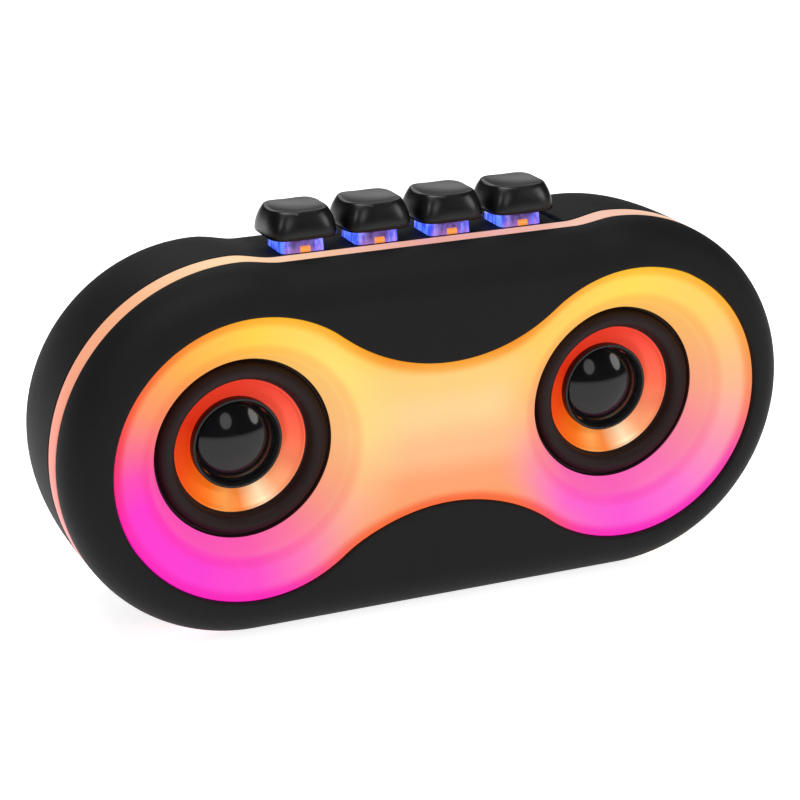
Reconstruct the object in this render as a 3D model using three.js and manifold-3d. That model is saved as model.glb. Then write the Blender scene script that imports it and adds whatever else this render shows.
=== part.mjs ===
// A small party speaker. Two full-range drivers sit behind a lit, dumbbell-shaped diffuser,
// a light band runs round the middle of the casing, and four mechanical keys stand on top.
// Millimetres, +X to the right, +Y to the back, +Z up. The origin is on the surface that the
// speaker stands on, under the middle of the casing.

import * as THREE from "three";
import { mergeVertices } from "three/addons/utils/BufferGeometryUtils.js";
import Module from "manifold-3d";

const wasm = await Module();
wasm.setup();

// ---------------------------------------------------------------- driving dimensions

// Casing: a stadium seen from the front, whose two lobes are centred on the drivers.
const LOBE_X = 49;
const LOBE_RADIUS = 45.1;
const CASING_DEPTH = 49;
const FOOT_HEIGHT = 0.9;
const WALL = 2.4;
const GAP = 0.3;

const FRONT_Y = -CASING_DEPTH / 2;
const BACK_Y = CASING_DEPTH / 2;
const AXIS_Z = LOBE_RADIUS + FOOT_HEIGHT;

// Front shell: a flat face out to FACE_RADIUS, then a rounded edge back to the light band.
const FACE_RADIUS = 34.8;
const FRONT_EDGE_DEPTH = 12.2;
const FRONT_ROUNDNESS = 2.2;
const BAND_WIDTH = 5.4;
const BAND_THICKNESS = 3.6;

// Rear shell: a slow taper that closes on a flat back.
const BACK_RADIUS = 38.1;
const BACK_ROUNDNESS = 2.5;

// The top of the casing dips a little between the lobes, and behind the light band the key
// deck is cut one step lower still.
const DECK_SINK = 1.6;
const DECK_STEP = 1;
const DECK_HALF_LENGTH = 37.8;

// Diffuser: two lobes joined by a necked bridge. RING_DEPTH is how far its inner ring, the
// mouth of each driver, lies behind the front of the casing.
const DIFFUSER_RADIUS = 34.65;
const NECK_HALF_HEIGHT = 17.6;
const RING_DEPTH = 10.4;
const RING_RADIUS = 22.15;
const DIFFUSER_THICKNESS = 2.4;

const RING_Y = FRONT_Y + RING_DEPTH;
const BAND_FRONT_Y = FRONT_Y + FRONT_EDGE_DEPTH;
const BAND_BACK_Y = BAND_FRONT_Y + BAND_WIDTH;

// Keys: four low-profile mechanical switches at the usual keyboard spacing.
const KEY_PITCH = 19.05;
const KEY_COUNT = 4;
const KEY_Y = 2.7;
const KEY_TRAVEL = 3.1;
const CAP_BASE_WIDTH = 17.4;
const CAP_BASE_DEPTH = 16.9;
const CAP_TOP_WIDTH = 13.5;
const CAP_TOP_DEPTH = 13.2;
const CAP_HEIGHT = 6.7;
const CAP_WALL = 1.3;
const CAP_DISH = 0.7;
const CAP_CEILING = 5.1;

// A switch's clear upper half stands through the deck, and its wider base hangs below it.
// Heights are counted from the deck.
const HOUSING_WIDTH = 10.9;
const HOUSING_TOP = 4.8;
const SWITCH_WIDTH = 12.6;
const SWITCH_DEPTH = 6.5;
const SWITCH_FLOOR = -8.5;
const HOUSING_FOOT = SWITCH_FLOOR + SWITCH_DEPTH + GAP;

const DECK_Z = AXIS_Z + LOBE_RADIUS - DECK_SINK - DECK_STEP;

// Round pieces and lobes are divided into this many flats.
const ROUND_STEPS = 16;
const SMALL_ROUND_STEPS = 10;
const LOBE_STEPS = 14;
const DUMBBELL_STEPS = 9;

// ---------------------------------------------------------------- materials

function finish(color, roughness, metalness = 0) {
  return new THREE.MeshStandardMaterial({ color, roughness, metalness });
}

const softBlack = finish("#141414", 0.6);
const satinBlack = finish("#1a1a1b", 0.45);
const glossBlack = finish("#0b0b0c", 0.12);
const amberDiffuser = finish("#ffb46a", 0.4);
const pinkBand = finish("#ff9a86", 0.45);
const copperCone = finish("#d9643a", 0.3, 0.9);
const blackRubber = finish("#1b1413", 0.55);
const stampedSteel = finish("#8d9094", 0.4, 0.9);
const ferrite = finish("#3a3b3d", 0.7, 0.2);
const amberCloth = finish("#b98a3c", 0.9);
const copperWire = finish("#b8642e", 0.35, 0.9);
const clearBlue = finish("#5a6df0", 0.2);
const whiteStem = finish("#e9e6dd", 0.5);
const springSteel = finish("#c3c6c9", 0.3, 1);
const circuitGreen = finish("#1e5b3a", 0.6);
const circuitWhite = finish("#e8e8e4", 0.5);
const cellWrap = finish("#3a78b8", 0.5);
const leadRed = finish("#b32020", 0.5);

// ---------------------------------------------------------------- solids

// A closed geometry becomes a solid: vertices in one place are merged, faces that have
// collapsed to a line are dropped, and the rest are turned to face outwards.
function solid(geometry) {
  geometry.deleteAttribute("normal");
  geometry.deleteAttribute("uv");
  const merged = mergeVertices(geometry, 1e-4);
  const corners = merged.index.array;
  const kept = [];
  for (let i = 0; i < corners.length; i += 3) {
    const [a, b, c] = corners.slice(i, i + 3);
    if (a !== b && b !== c && c !== a) kept.push([a, b, c]);
  }
  const body = (faces) =>
    new wasm.Manifold(
      new wasm.Mesh({
        numProp: 3,
        vertProperties: merged.attributes.position.array,
        triVerts: Uint32Array.from(faces.flat()),
      }),
    );
  const made = body(kept);
  if (made.volume() > 0) return made;
  return body(kept.map(([a, b, c]) => [a, c, b]));
}

function join(first, ...rest) {
  return rest.reduce((whole, piece) => whole.add(piece), first);
}

function cut(whole, ...cutters) {
  return cutters.reduce((left, cutter) => left.subtract(cutter), whole);
}

function add(group, name, body, material) {
  const { vertProperties, triVerts } = body.getMesh();
  const geometry = new THREE.BufferGeometry();
  geometry.setAttribute("position", new THREE.BufferAttribute(vertProperties, 3));
  geometry.setIndex(new THREE.BufferAttribute(triVerts, 1));
  geometry.computeVertexNormals();
  const mesh = new THREE.Mesh(geometry, material);
  mesh.name = name;
  group.add(mesh);
}

// A ring or disc about the Y axis, from a profile of [radius, y] points.
function turned(profile, steps = ROUND_STEPS) {
  const points = profile.map(([radius, y]) => new THREE.Vector2(radius, y));
  const onAxis = profile[0][0] === 0;
  if (!onAxis) points.push(points[0].clone());
  return solid(new THREE.LatheGeometry(points, steps));
}

function tube(inner, outer, y0, y1, steps = ROUND_STEPS) {
  return turned([[inner, y0], [outer, y0], [outer, y1], [inner, y1]], steps);
}

function rod(radius, y0, y1, steps = SMALL_ROUND_STEPS) {
  return turned([[0, y0], [radius, y0], [radius, y1], [0, y1]], steps);
}

function box(width, depth, height, x = 0, y = 0, z = 0) {
  return solid(new THREE.BoxGeometry(width, depth, height).translate(x, y, z));
}

// A shape drawn in X and Z, standing up and thick along Y from y0 to y1.
function upright(shape, y0, y1, curveSegments = DUMBBELL_STEPS) {
  const options = { depth: y1 - y0, bevelEnabled: false, curveSegments };
  const geometry = new THREE.ExtrudeGeometry(shape, options);
  return solid(geometry.rotateX(Math.PI / 2).translate(0, y1, 0));
}

// A shape drawn in X and Y, lying flat and thick along Z from z0 to z1.
function flat(shape, z0, z1, curveSegments = 4) {
  const options = { depth: z1 - z0, bevelEnabled: false, curveSegments };
  return solid(new THREE.ExtrudeGeometry(shape, options).translate(0, 0, z0));
}

function roundedRectangle(width, height, radius) {
  const x = width / 2 - radius;
  const y = height / 2 - radius;
  const shape = new THREE.Shape();
  shape.absarc(x, y, radius, 0, Math.PI / 2);
  shape.absarc(-x, y, radius, Math.PI / 2, Math.PI);
  shape.absarc(-x, -y, radius, Math.PI, 1.5 * Math.PI);
  shape.absarc(x, -y, radius, 1.5 * Math.PI, 2 * Math.PI);
  return shape;
}

// Extrudes an outline through several levels along Z. place(level, point) gives each outline
// point its place at that level, and the first level's outline is the one that is given.
function loft(shape, levels, place, curveSegments) {
  const steps = levels.length - 1;
  const options = { depth: steps, steps, bevelEnabled: false, curveSegments };
  const geometry = new THREE.ExtrudeGeometry(shape, options);
  const position = geometry.attributes.position;
  const point = new THREE.Vector3();
  for (let i = 0; i < position.count; i += 1) {
    point.fromBufferAttribute(position, i);
    place(levels[Math.round(point.z)], point);
    position.setXYZ(i, point.x, point.y, point.z);
  }
  return solid(geometry);
}

// ---------------------------------------------------------------- casing outline

function deckSink(x) {
  const t = (LOBE_X - Math.abs(x)) / (LOBE_X - DECK_HALF_LENGTH);
  const clamped = THREE.MathUtils.clamp(t, 0, 1);
  return DECK_SINK * clamped * clamped * (3 - 2 * clamped);
}

// The stadium outline in X and Z, with the key deck's dip along the top.
function casingOutline(radius) {
  const points = [];
  const slopeSteps = 3;
  for (let i = 0; i <= LOBE_STEPS; i += 1) {
    const angle = -Math.PI / 2 + (Math.PI * i) / LOBE_STEPS;
    const x = LOBE_X + radius * Math.cos(angle);
    points.push(new THREE.Vector2(x, radius * Math.sin(angle)));
  }
  for (const side of [1, -1]) {
    for (let i = 1; i <= slopeSteps; i += 1) {
      const along = side > 0 ? i / slopeSteps : 1 - (i - 1) / slopeSteps;
      const x = side * (LOBE_X - (LOBE_X - DECK_HALF_LENGTH) * along);
      points.push(new THREE.Vector2(x, radius - deckSink(x)));
    }
  }
  for (let i = 0; i <= LOBE_STEPS; i += 1) {
    const angle = Math.PI / 2 + (Math.PI * i) / LOBE_STEPS;
    const x = -LOBE_X + radius * Math.cos(angle);
    points.push(new THREE.Vector2(x, radius * Math.sin(angle)));
  }
  return points;
}

// A solid whose outline at each depth is the casing's, from a profile of [radius, y] points.
function casingLoft(profile) {
  const firstRadius = profile[0][0];
  const shape = new THREE.Shape(casingOutline(firstRadius));
  return loft(shape, profile, ([radius, y], point) => {
    const centre = THREE.MathUtils.clamp(point.x, -LOBE_X, LOBE_X);
    const beyond = point.x - centre;
    if (Math.abs(beyond) > 1e-6) {
      const scale = radius / firstRadius;
      point.set(centre + beyond * scale, y, point.y * scale);
    } else {
      point.set(centre, y, point.y + Math.sign(point.y) * (radius - firstRadius));
    }
  });
}

// A quarter of a superellipse in radius and Y, from the rim at y0 to the face at y1.
function roundedEdge(rimRadius, faceRadius, y0, y1, roundness, steps) {
  const profile = [];
  for (let i = 0; i <= steps; i += 1) {
    const angle = (Math.PI / 2) * (i / steps);
    const across = Math.cos(angle) ** (2 / roundness);
    const along = Math.sin(angle) ** (2 / roundness);
    profile.push([faceRadius + (rimRadius - faceRadius) * across, y0 + (y1 - y0) * along]);
  }
  return profile;
}

// The dumbbell: two arcs about the lobe centres joined by hollow arcs that touch both.
function dumbbell(lobeRadius, neckHalfHeight) {
  const rise = LOBE_X ** 2 + neckHalfHeight ** 2 - lobeRadius ** 2;
  const filletRadius = rise / (2 * (lobeRadius - neckHalfHeight));
  const filletZ = neckHalfHeight + filletRadius;
  const touch = Math.atan2(filletZ, LOBE_X);
  const shape = new THREE.Shape();
  shape.absarc(LOBE_X, 0, lobeRadius, touch - Math.PI, Math.PI - touch, false);
  shape.absarc(0, filletZ, filletRadius, -touch, touch - Math.PI, true);
  shape.absarc(-LOBE_X, 0, lobeRadius, touch, 2 * Math.PI - touch, false);
  shape.absarc(0, -filletZ, filletRadius, Math.PI - touch, touch, true);
  return shape;
}

// ---------------------------------------------------------------- casing pieces

const casing = new THREE.Group();
casing.position.z = AXIS_Z;

// Screws sit in wells in the back and bite into posts on the baffle. Places are [x, z].
const SCREW_PLACES = [[-22, 26], [22, 26], [-38, -31], [38, -31]];
const SCREW = { length: 16, thread: 1.25, head: 2.8, well: 3.2, wellDepth: 2.4, hole: 1.6 };
const BOSS = { radius: 4.2, depth: 6.2 };
const POST = { radius: 3.2, bore: 1.55, boreDepth: 12 };
const PORT_PANEL = { width: 46, height: 12, corner: 3.7, z: -12 };

// The diffuser's face stands a little behind the casing's, and a flange behind it laps the
// window's edge.
const FACE_INSET = 0.4;
const FLANGE_OVERLAP = 1.1;

function frontShell() {
  const outer = roundedEdge(
    LOBE_RADIUS, FACE_RADIUS, BAND_FRONT_Y - GAP, FRONT_Y, FRONT_ROUNDNESS, 5,
  );
  const inner = roundedEdge(
    LOBE_RADIUS - WALL, FACE_RADIUS, BAND_FRONT_Y - GAP, FRONT_Y + WALL, FRONT_ROUNDNESS, 2,
  );
  inner.unshift([LOBE_RADIUS - WALL, BAND_FRONT_Y]);
  const window = upright(dumbbell(DIFFUSER_RADIUS + GAP, NECK_HALF_HEIGHT + GAP), FRONT_Y - 1, 0);
  return cut(casingLoft(outer), casingLoft(inner), window);
}

function lightBand() {
  const outer = casingLoft([[LOBE_RADIUS, BAND_FRONT_Y], [LOBE_RADIUS, BAND_BACK_Y]]);
  const inner = LOBE_RADIUS - BAND_THICKNESS;
  return cut(outer, casingLoft([[inner, BAND_FRONT_Y - 1], [inner, BAND_BACK_Y + 1]]));
}

function keyX(index) {
  return (index - (KEY_COUNT - 1) / 2) * KEY_PITCH;
}

function rearShell() {
  const rimY = BAND_BACK_Y + GAP;
  const outer = roundedEdge(LOBE_RADIUS, BACK_RADIUS, rimY, BACK_Y, BACK_ROUNDNESS, 5);
  const inner = roundedEdge(
    LOBE_RADIUS - WALL, BACK_RADIUS - WALL, rimY, BACK_Y - WALL, BACK_ROUNDNESS, 2,
  );
  inner.unshift([LOBE_RADIUS - WALL, rimY - 1]);
  let shell = cut(casingLoft(outer), casingLoft(inner));
  const bossFace = BACK_Y - BOSS.depth;
  for (const [x, z] of SCREW_PLACES) {
    shell = join(shell, rod(BOSS.radius, bossFace, BACK_Y - 1).translate(x, 0, z));
    shell = cut(
      shell,
      rod(SCREW.hole, bossFace - 1, BACK_Y + 1).translate(x, 0, z),
      rod(SCREW.well, BACK_Y - SCREW.wellDepth, BACK_Y + 1).translate(x, 0, z),
    );
  }
  const deckCut = 10;
  const deck = box(2 * DECK_HALF_LENGTH, CASING_DEPTH, deckCut);
  const deckZ = DECK_Z - AXIS_Z;
  shell = cut(shell, deck.translate(0, 0, deckZ + deckCut / 2));
  const hole = HOUSING_WIDTH + 2 * GAP;
  const pocket = SWITCH_WIDTH + 2 * GAP;
  const pocketHeight = 10;
  const pocketZ = deckZ + HOUSING_FOOT - pocketHeight / 2;
  for (let i = 0; i < KEY_COUNT; i += 1) {
    shell = cut(
      shell,
      box(hole, hole, deckCut, keyX(i), KEY_Y, deckZ),
      box(pocket, pocket, pocketHeight, keyX(i), KEY_Y, pocketZ),
    );
  }
  const { width, height, corner } = PORT_PANEL;
  const panelHole = roundedRectangle(width + 2 * GAP, height + 2 * GAP, corner + GAP);
  return cut(shell, upright(panelHole, BACK_Y - 5, BACK_Y + 1, 3).translate(0, 0, PORT_PANEL.z));
}

// The diffuser dishes in from its outer edge to a collar that steepens round each driver.
function frontDiffuser() {
  const faceY = FRONT_Y + FACE_INSET;
  const flangeY = faceY + DIFFUSER_THICKNESS + GAP;
  const face = upright(dumbbell(DIFFUSER_RADIUS, NECK_HALF_HEIGHT), faceY, flangeY + 0.2);
  const flangeOutline = dumbbell(
    DIFFUSER_RADIUS + FLANGE_OVERLAP, NECK_HALF_HEIGHT + FLANGE_OVERLAP,
  );
  const flange = upright(flangeOutline, flangeY, flangeY + 1.4);
  const dish = turned([
    [DIFFUSER_RADIUS - 0.4, RING_Y - 9.9],
    [25.4, RING_Y - 5.9],
    [RING_RADIUS, RING_Y],
    [RING_RADIUS + 1.5, RING_Y],
    [27.4, RING_Y - 4.9],
    [DIFFUSER_RADIUS - 0.4, RING_Y - 6.4],
  ], 28);
  let plate = join(face, flange);
  for (const x of [-LOBE_X, LOBE_X]) {
    plate = cut(plate, rod(DIFFUSER_RADIUS - 1, FRONT_Y - 1, 0, 28).translate(x, 0, 0));
    plate = join(plate, dish.translate(x, 0, 0));
  }
  return plate;
}

// The plate that the drivers hang on, with the four posts that the rear screws bite into.
function driverBaffle() {
  const frontY = RING_Y + 2.9;
  const radius = LOBE_RADIUS - BAND_THICKNESS - 2 * GAP;
  let plate = casingLoft([[radius, frontY], [radius, frontY + 2]]);
  for (const x of [-LOBE_X, LOBE_X]) {
    plate = cut(plate, rod(21.2, frontY - 1, frontY + 3, ROUND_STEPS).translate(x, 0, 0));
  }
  const postEnd = BACK_Y - BOSS.depth - GAP;
  for (const [x, z] of SCREW_PLACES) {
    const bore = rod(POST.bore, postEnd - POST.boreDepth, postEnd + 1, 8);
    plate = join(plate, rod(POST.radius, frontY + 1, postEnd).translate(x, 0, z));
    plate = cut(plate, bore.translate(x, 0, z));
  }
  return plate;
}

// The board of coloured lights behind the diffuser, with room for both collars.
function lightBoard() {
  const y = RING_Y - 0.8;
  let board = upright(dumbbell(DIFFUSER_RADIUS - 1.5, NECK_HALF_HEIGHT - 1.5), y, y + 1.2, 6);
  for (const x of [-LOBE_X, LOBE_X]) {
    board = cut(board, rod(26, y - 1, y + 2, ROUND_STEPS).translate(x, 0, 0));
  }
  return board;
}

// A pan-head screw with a cross recess, sunk a little below the back.
function casingScrew() {
  const headY = BACK_Y - FACE_INSET;
  const head = rod(SCREW.head, headY - 1.7, headY, 12);
  const thread = rod(SCREW.thread, BACK_Y - SCREW.length, headY - 1.6, 8);
  const drive = join(box(0.8, 2, 3, 0, headY, 0), box(3, 2, 0.8, 0, headY, 0));
  return cut(join(head, thread), drive);
}

add(casing, "front_shell", frontShell(), softBlack);
add(casing, "light_band", lightBand(), pinkBand);
add(casing, "rear_shell", rearShell(), softBlack);
add(casing, "front_diffuser", frontDiffuser(), amberDiffuser);
add(casing, "driver_baffle", driverBaffle(), satinBlack);
add(casing, "light_board", lightBoard(), circuitWhite);
SCREW_PLACES.forEach(([x, z], i) => {
  add(casing, `casing_screw_${i + 1}`, casingScrew().translate(x, 0, z), springSteel);
});

// ---------------------------------------------------------------- feet

const FOOT = { length: 30, width: 19, x: 42, y: 4.5 };

function foot() {
  const pad = flat(roundedRectangle(FOOT.length, FOOT.width, 4), 0, 4);
  return pad.translate(0, FOOT.y, 0);
}

// Each foot is trimmed to lie against the underside of the rear shell.
function trimmedFoot(x) {
  const grown = roundedEdge(
    LOBE_RADIUS + GAP, BACK_RADIUS + GAP, BAND_BACK_Y + GAP, BACK_Y + GAP, BACK_ROUNDNESS, 7,
  );
  grown.unshift([LOBE_RADIUS + GAP, BAND_FRONT_Y]);
  return cut(foot().translate(x, 0, 0), casingLoft(grown).translate(0, 0, AXIS_Z));
}

const feet = new THREE.Group();
add(feet, "foot_left", trimmedFoot(-FOOT.x), blackRubber);
add(feet, "foot_right", trimmedFoot(FOOT.x), blackRubber);

// ---------------------------------------------------------------- drivers

const COIL_INNER = 8.75;
const COIL_OUTER = 9.35;
const CONE_OUTER = 16.4;

// Every driver piece is turned about its axis, with y counted back from the diffuser's ring.
function basket() {
  const frame = turned([
    [20.2, 1.6], [25.2, 1.6], [25.2, 2.6], [20.7, 2.6], [16.2, 10.8], [16.2, 12.4],
    [10.4, 12.4], [10.4, 11.4], [15.1, 11.4], [15.2, 10.4], [19.6, 2.4],
  ]);
  const window = box(9, 4.6, 60, 0, 6.6, 0);
  return cut(frame, window, window.rotate([0, 90, 0]));
}

function magnet() {
  return turned([
    [0, 12.2], [8.2, 12.2], [8.2, 20.2], [11.4, 20.2], [11.4, 15.2], [9.9, 15.2], [9.9, 12.7],
    [15.6, 12.7], [15.6, 15.2], [16.4, 15.2], [16.4, 20.2], [15.6, 20.2], [15.6, 22.6], [0, 22.6],
  ]);
}

function surround() {
  const rollCentre = 19;
  const roll = (radius, steps, back) => {
    const arc = [];
    for (let i = 0; i <= steps; i += 1) {
      const angle = Math.PI * (i / steps);
      const lean = (0.9 * i) / steps;
      arc.push([rollCentre + radius * Math.cos(angle), back + lean - radius * Math.sin(angle)]);
    }
    return arc;
  };
  const front = roll(2.25, 5, 0.9);
  const rear = roll(1.75, 4, 1.3).reverse();
  return turned([[22.5, 1.3], [22.5, 0.9], ...front, ...rear]);
}

function cone() {
  return turned([[9.65, 7.25], [CONE_OUTER, 2.2], [CONE_OUTER, 2.8], [9.65, 7.85]]);
}

// A shallow dome inside a raised ring.
function dustCap() {
  return turned([
    [0, 1.8], [5, 2.6], [8, 4], [10, 5.2], [10.1, 3.75], [11.4, 3.75],
    [11.4, 5.6], [10, 6.5], [7.8, 4.8], [4.8, 3.3], [0, 2.5],
  ]);
}

function spider() {
  const front = [[9.75, 9], [11.4, 9.8], [13, 9], [14.6, 9.8]];
  const rear = front.map(([radius, y]) => [radius, y + 0.5]).reverse();
  return turned([...front, ...rear]);
}

function addDriver(parent, side, x) {
  const driver = new THREE.Group();
  driver.position.set(x, RING_Y, AXIS_Z);
  add(driver, `${side}_basket`, basket(), stampedSteel);
  add(driver, `${side}_magnet`, magnet(), ferrite);
  add(driver, `${side}_surround`, surround(), blackRubber);
  add(driver, `${side}_cone`, cone(), copperCone);
  add(driver, `${side}_dust_cap`, dustCap(), glossBlack);
  add(driver, `${side}_voice_coil`, tube(COIL_INNER, COIL_OUTER, 6.2, 16.4), copperWire);
  add(driver, `${side}_spider`, spider(), amberCloth);
  parent.add(driver);
}

// ---------------------------------------------------------------- keys

// A stack of rounded rectangles: each level is { width, depth, radius, z }.
function squareLoft(levels, cornerSteps) {
  const first = levels[0];
  const shape = roundedRectangle(first.width, first.depth, first.radius);
  const place = (level, point) => {
    const towards = (value, size) => {
      const out = (Math.abs(value) - (size / 2 - first.radius)) / first.radius;
      return Math.sign(value) * THREE.MathUtils.clamp(out, 0, 1);
    };
    const across = towards(point.x, first.width);
    const along = towards(point.y, first.depth);
    const x = Math.sign(point.x) * (level.width / 2 - level.radius) + across * level.radius;
    const y = Math.sign(point.y) * (level.depth / 2 - level.radius) + along * level.radius;
    point.set(x, y, level.z);
  };
  return loft(shape, levels, place, cornerSteps);
}

const CAP_BOTTOM = KEY_TRAVEL + 0.5;

// The cap's walls lean in towards its top, slowly at first.
function capLevel(height, inset, bottomRadius, topRadius) {
  const lean = (height / CAP_HEIGHT) ** 2;
  return {
    width: THREE.MathUtils.lerp(CAP_BASE_WIDTH, CAP_TOP_WIDTH, lean) - 2 * inset,
    depth: THREE.MathUtils.lerp(CAP_BASE_DEPTH, CAP_TOP_DEPTH, lean) - 2 * inset,
    radius: THREE.MathUtils.lerp(bottomRadius, topRadius, lean),
    z: CAP_BOTTOM + height,
  };
}

function keycap() {
  const outside = [0, 3, 5.4, CAP_HEIGHT].map((height) => capLevel(height, 0, 5, 3.2));
  const rim = outside[outside.length - 1];
  const dish = { width: rim.width - 5, depth: rim.depth - 5, radius: 3, z: rim.z - CAP_DISH };
  const cavity = [-1, 2.5, CAP_CEILING].map((height) => capLevel(height, CAP_WALL, 2.4, 2));
  return cut(squareLoft([...outside, dish], 3), squareLoft(cavity, 3));
}

// The clear upper half of a switch, with a window in its top for the stem.
function switchHousing() {
  const shoulder = 2.8;
  const wall = 0.8;
  const square = (width, radius, z) => ({ width, depth: width, radius, z });
  const outside = squareLoft([
    square(HOUSING_WIDTH, 1.4, HOUSING_FOOT),
    square(HOUSING_WIDTH, 1.4, shoulder),
    square(HOUSING_WIDTH - 1.8, 1.4, HOUSING_TOP),
  ], 1);
  const cavity = squareLoft([
    square(HOUSING_WIDTH - 2 * wall, 0.6, HOUSING_FOOT - 1),
    square(HOUSING_WIDTH - 2 * wall, 0.6, shoulder - 0.6),
    square(HOUSING_WIDTH - 1.8 - 2 * wall, 0.6, HOUSING_TOP - wall),
  ], 1);
  return cut(outside, cavity, box(7.2, 5.2, 4, 0, 0, HOUSING_TOP));
}

// The stem's foot is bored for the spring, which stands on the floor of the switch.
const BASE_WALL = 0.9;
const SPRING_FOOT = SWITCH_FLOOR + BASE_WALL + 0.2;
const SPRING_TOP = 1.7;
const STEM = { width: 6.4, depth: 4.4, foot: SWITCH_FLOOR + 4.8, top: 6, bore: 1.8 };

function switchBase() {
  const block = box(SWITCH_WIDTH, SWITCH_WIDTH, SWITCH_DEPTH);
  const inner = SWITCH_WIDTH - 2 * BASE_WALL;
  const hollow = box(inner, inner, SWITCH_DEPTH, 0, 0, BASE_WALL);
  return cut(block, hollow).translate(0, 0, SWITCH_FLOOR + SWITCH_DEPTH / 2);
}

function switchStem() {
  const sliderHeight = STEM.top - STEM.foot;
  const slider = box(STEM.width, STEM.depth, sliderHeight, 0, 0, STEM.foot + sliderHeight / 2);
  const bore = rod(STEM.bore, STEM.foot - 1, SPRING_TOP + GAP, 10).rotate([90, 0, 0]);
  const postTop = CAP_BOTTOM + CAP_CEILING - GAP;
  const postHeight = postTop - STEM.top + 0.5;
  const postZ = postTop - postHeight / 2;
  const post = join(box(4, 1.3, postHeight, 0, 0, postZ), box(1.3, 4, postHeight, 0, 0, postZ));
  return join(cut(slider, bore), post);
}

function switchSpring() {
  return tube(1.1, 1.5, SPRING_FOOT, SPRING_TOP, 10).rotate([90, 0, 0]);
}

function addKey(parent, index) {
  const key = new THREE.Group();
  key.position.set(keyX(index), KEY_Y, DECK_Z);
  const number = index + 1;
  add(key, `keycap_${number}`, keycap(), satinBlack);
  add(key, `switch_stem_${number}`, switchStem(), whiteStem);
  add(key, `switch_housing_${number}`, switchHousing(), clearBlue);
  add(key, `switch_base_${number}`, switchBase(), satinBlack);
  add(key, `switch_spring_${number}`, switchSpring(), springSteel);
  parent.add(key);
}

// ---------------------------------------------------------------- electronics

const inside = new THREE.Group();
const PANEL_Z = AXIS_Z + PORT_PANEL.z;
const PANEL_Y = BACK_Y - 2.8;
const BOARD_FACE_Y = 14.8;
const USB_X = -14;
const AUX_X = 14;

function keyBoard() {
  const top = DECK_Z + SWITCH_FLOOR - GAP;
  return flat(roundedRectangle(78, 17, 1.5), top - 1.6, top).translate(0, KEY_Y, 0);
}

function portPanel() {
  const outline = roundedRectangle(PORT_PANEL.width, PORT_PANEL.height, PORT_PANEL.corner);
  const plate = upright(outline, PANEL_Y, PANEL_Y + 2, 3);
  const usb = upright(roundedRectangle(9.4, 3.6, 1.7), PANEL_Y - 1, BACK_Y, 4).translate(USB_X, 0, 0);
  const card = box(12.4, 8, 2.4, 0, PANEL_Y, 0);
  const aux = rod(2.3, PANEL_Y - 1, BACK_Y, 16).translate(AUX_X, 0, 0);
  return cut(plate, usb, card, aux).translate(0, 0, PANEL_Z);
}

function mainBoard() {
  return box(56, 1.6, 34, 0, BOARD_FACE_Y - 0.8, PANEL_Z + 13);
}

function usbSocket() {
  const y0 = BOARD_FACE_Y + GAP;
  const shell = upright(roundedRectangle(8.8, 3, 1.4), y0, PANEL_Y + 1.4, 4);
  const mouth = upright(roundedRectangle(8.1, 2.3, 1.1), y0 + 1, BACK_Y, 4);
  return join(cut(shell, mouth), box(6.4, 5, 0.6, 0, y0 + 3, 0)).translate(USB_X, 0, PANEL_Z);
}

function cardSocket() {
  const y0 = BOARD_FACE_Y + GAP;
  const shell = box(12.8, PANEL_Y - GAP - y0, 2.6, 0, (PANEL_Y - GAP + y0) / 2, 0);
  return cut(shell, box(11.4, 8, 1.4, 0, PANEL_Y - 1.8, 0)).translate(0, 0, PANEL_Z);
}

function auxSocket() {
  const y0 = BOARD_FACE_Y + GAP;
  const block = box(7, PANEL_Y - GAP - y0, 6, 0, (PANEL_Y - GAP + y0) / 2, 0);
  const barrel = rod(2, PANEL_Y - 1, PANEL_Y + 1.4, 16);
  const bore = rod(1.75, y0 + 1, BACK_Y, 16);
  return cut(join(block, barrel), bore).translate(AUX_X, 0, PANEL_Z);
}

const CELL = { radius: 9.2, length: 65, y: 5.5, z: 18.5 };

function batteryCell() {
  const body = rod(CELL.radius, -CELL.length / 2, CELL.length / 2 - 1, 20);
  const button = rod(3, CELL.length / 2 - 2, CELL.length / 2, 12);
  return join(body, button).rotate([0, 0, -90]).translate(0, CELL.y, CELL.z);
}

function batteryCradle() {
  const bottom = FOOT_HEIGHT + WALL + 2.7;
  const height = CELL.z - bottom - 1;
  const block = box(46, 2 * CELL.radius + 2, height, 0, CELL.y, bottom + height / 2);
  const hollow = rod(CELL.radius + GAP, -40, 40, 20).rotate([0, 0, -90]);
  return cut(block, hollow.translate(0, CELL.y, CELL.z), box(34, 40, 20, 0, CELL.y, CELL.z + 3));
}

// A round lead along a smooth curve through the given points.
function lead(radius, points, steps) {
  const curve = new THREE.CatmullRomCurve3(points.map((p) => new THREE.Vector3(...p)));
  const section = new THREE.Shape();
  section.absarc(0, 0, radius, 0, 2 * Math.PI);
  const options = { extrudePath: curve, steps, curveSegments: 3, bevelEnabled: false };
  return solid(new THREE.ExtrudeGeometry(section, options));
}

function driverLead(side) {
  const boardY = BOARD_FACE_Y - 2.4;
  const terminal = side * (LOBE_X - 17.6);
  return lead(0.8, [
    [side * 20, boardY, AXIS_Z + 8],
    [side * 21, 4, AXIS_Z + 7],
    [side * 26, -3, AXIS_Z + 4],
    [terminal, -3.6, AXIS_Z + 2],
  ], 10);
}

function batteryLead() {
  return lead(0.8, [
    [24, BOARD_FACE_Y - 2.6, 33],
    [31, 10, 33],
    [36, 7, 27],
    [CELL.length / 2 + 1.4, CELL.y, CELL.z],
  ], 12);
}

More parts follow.
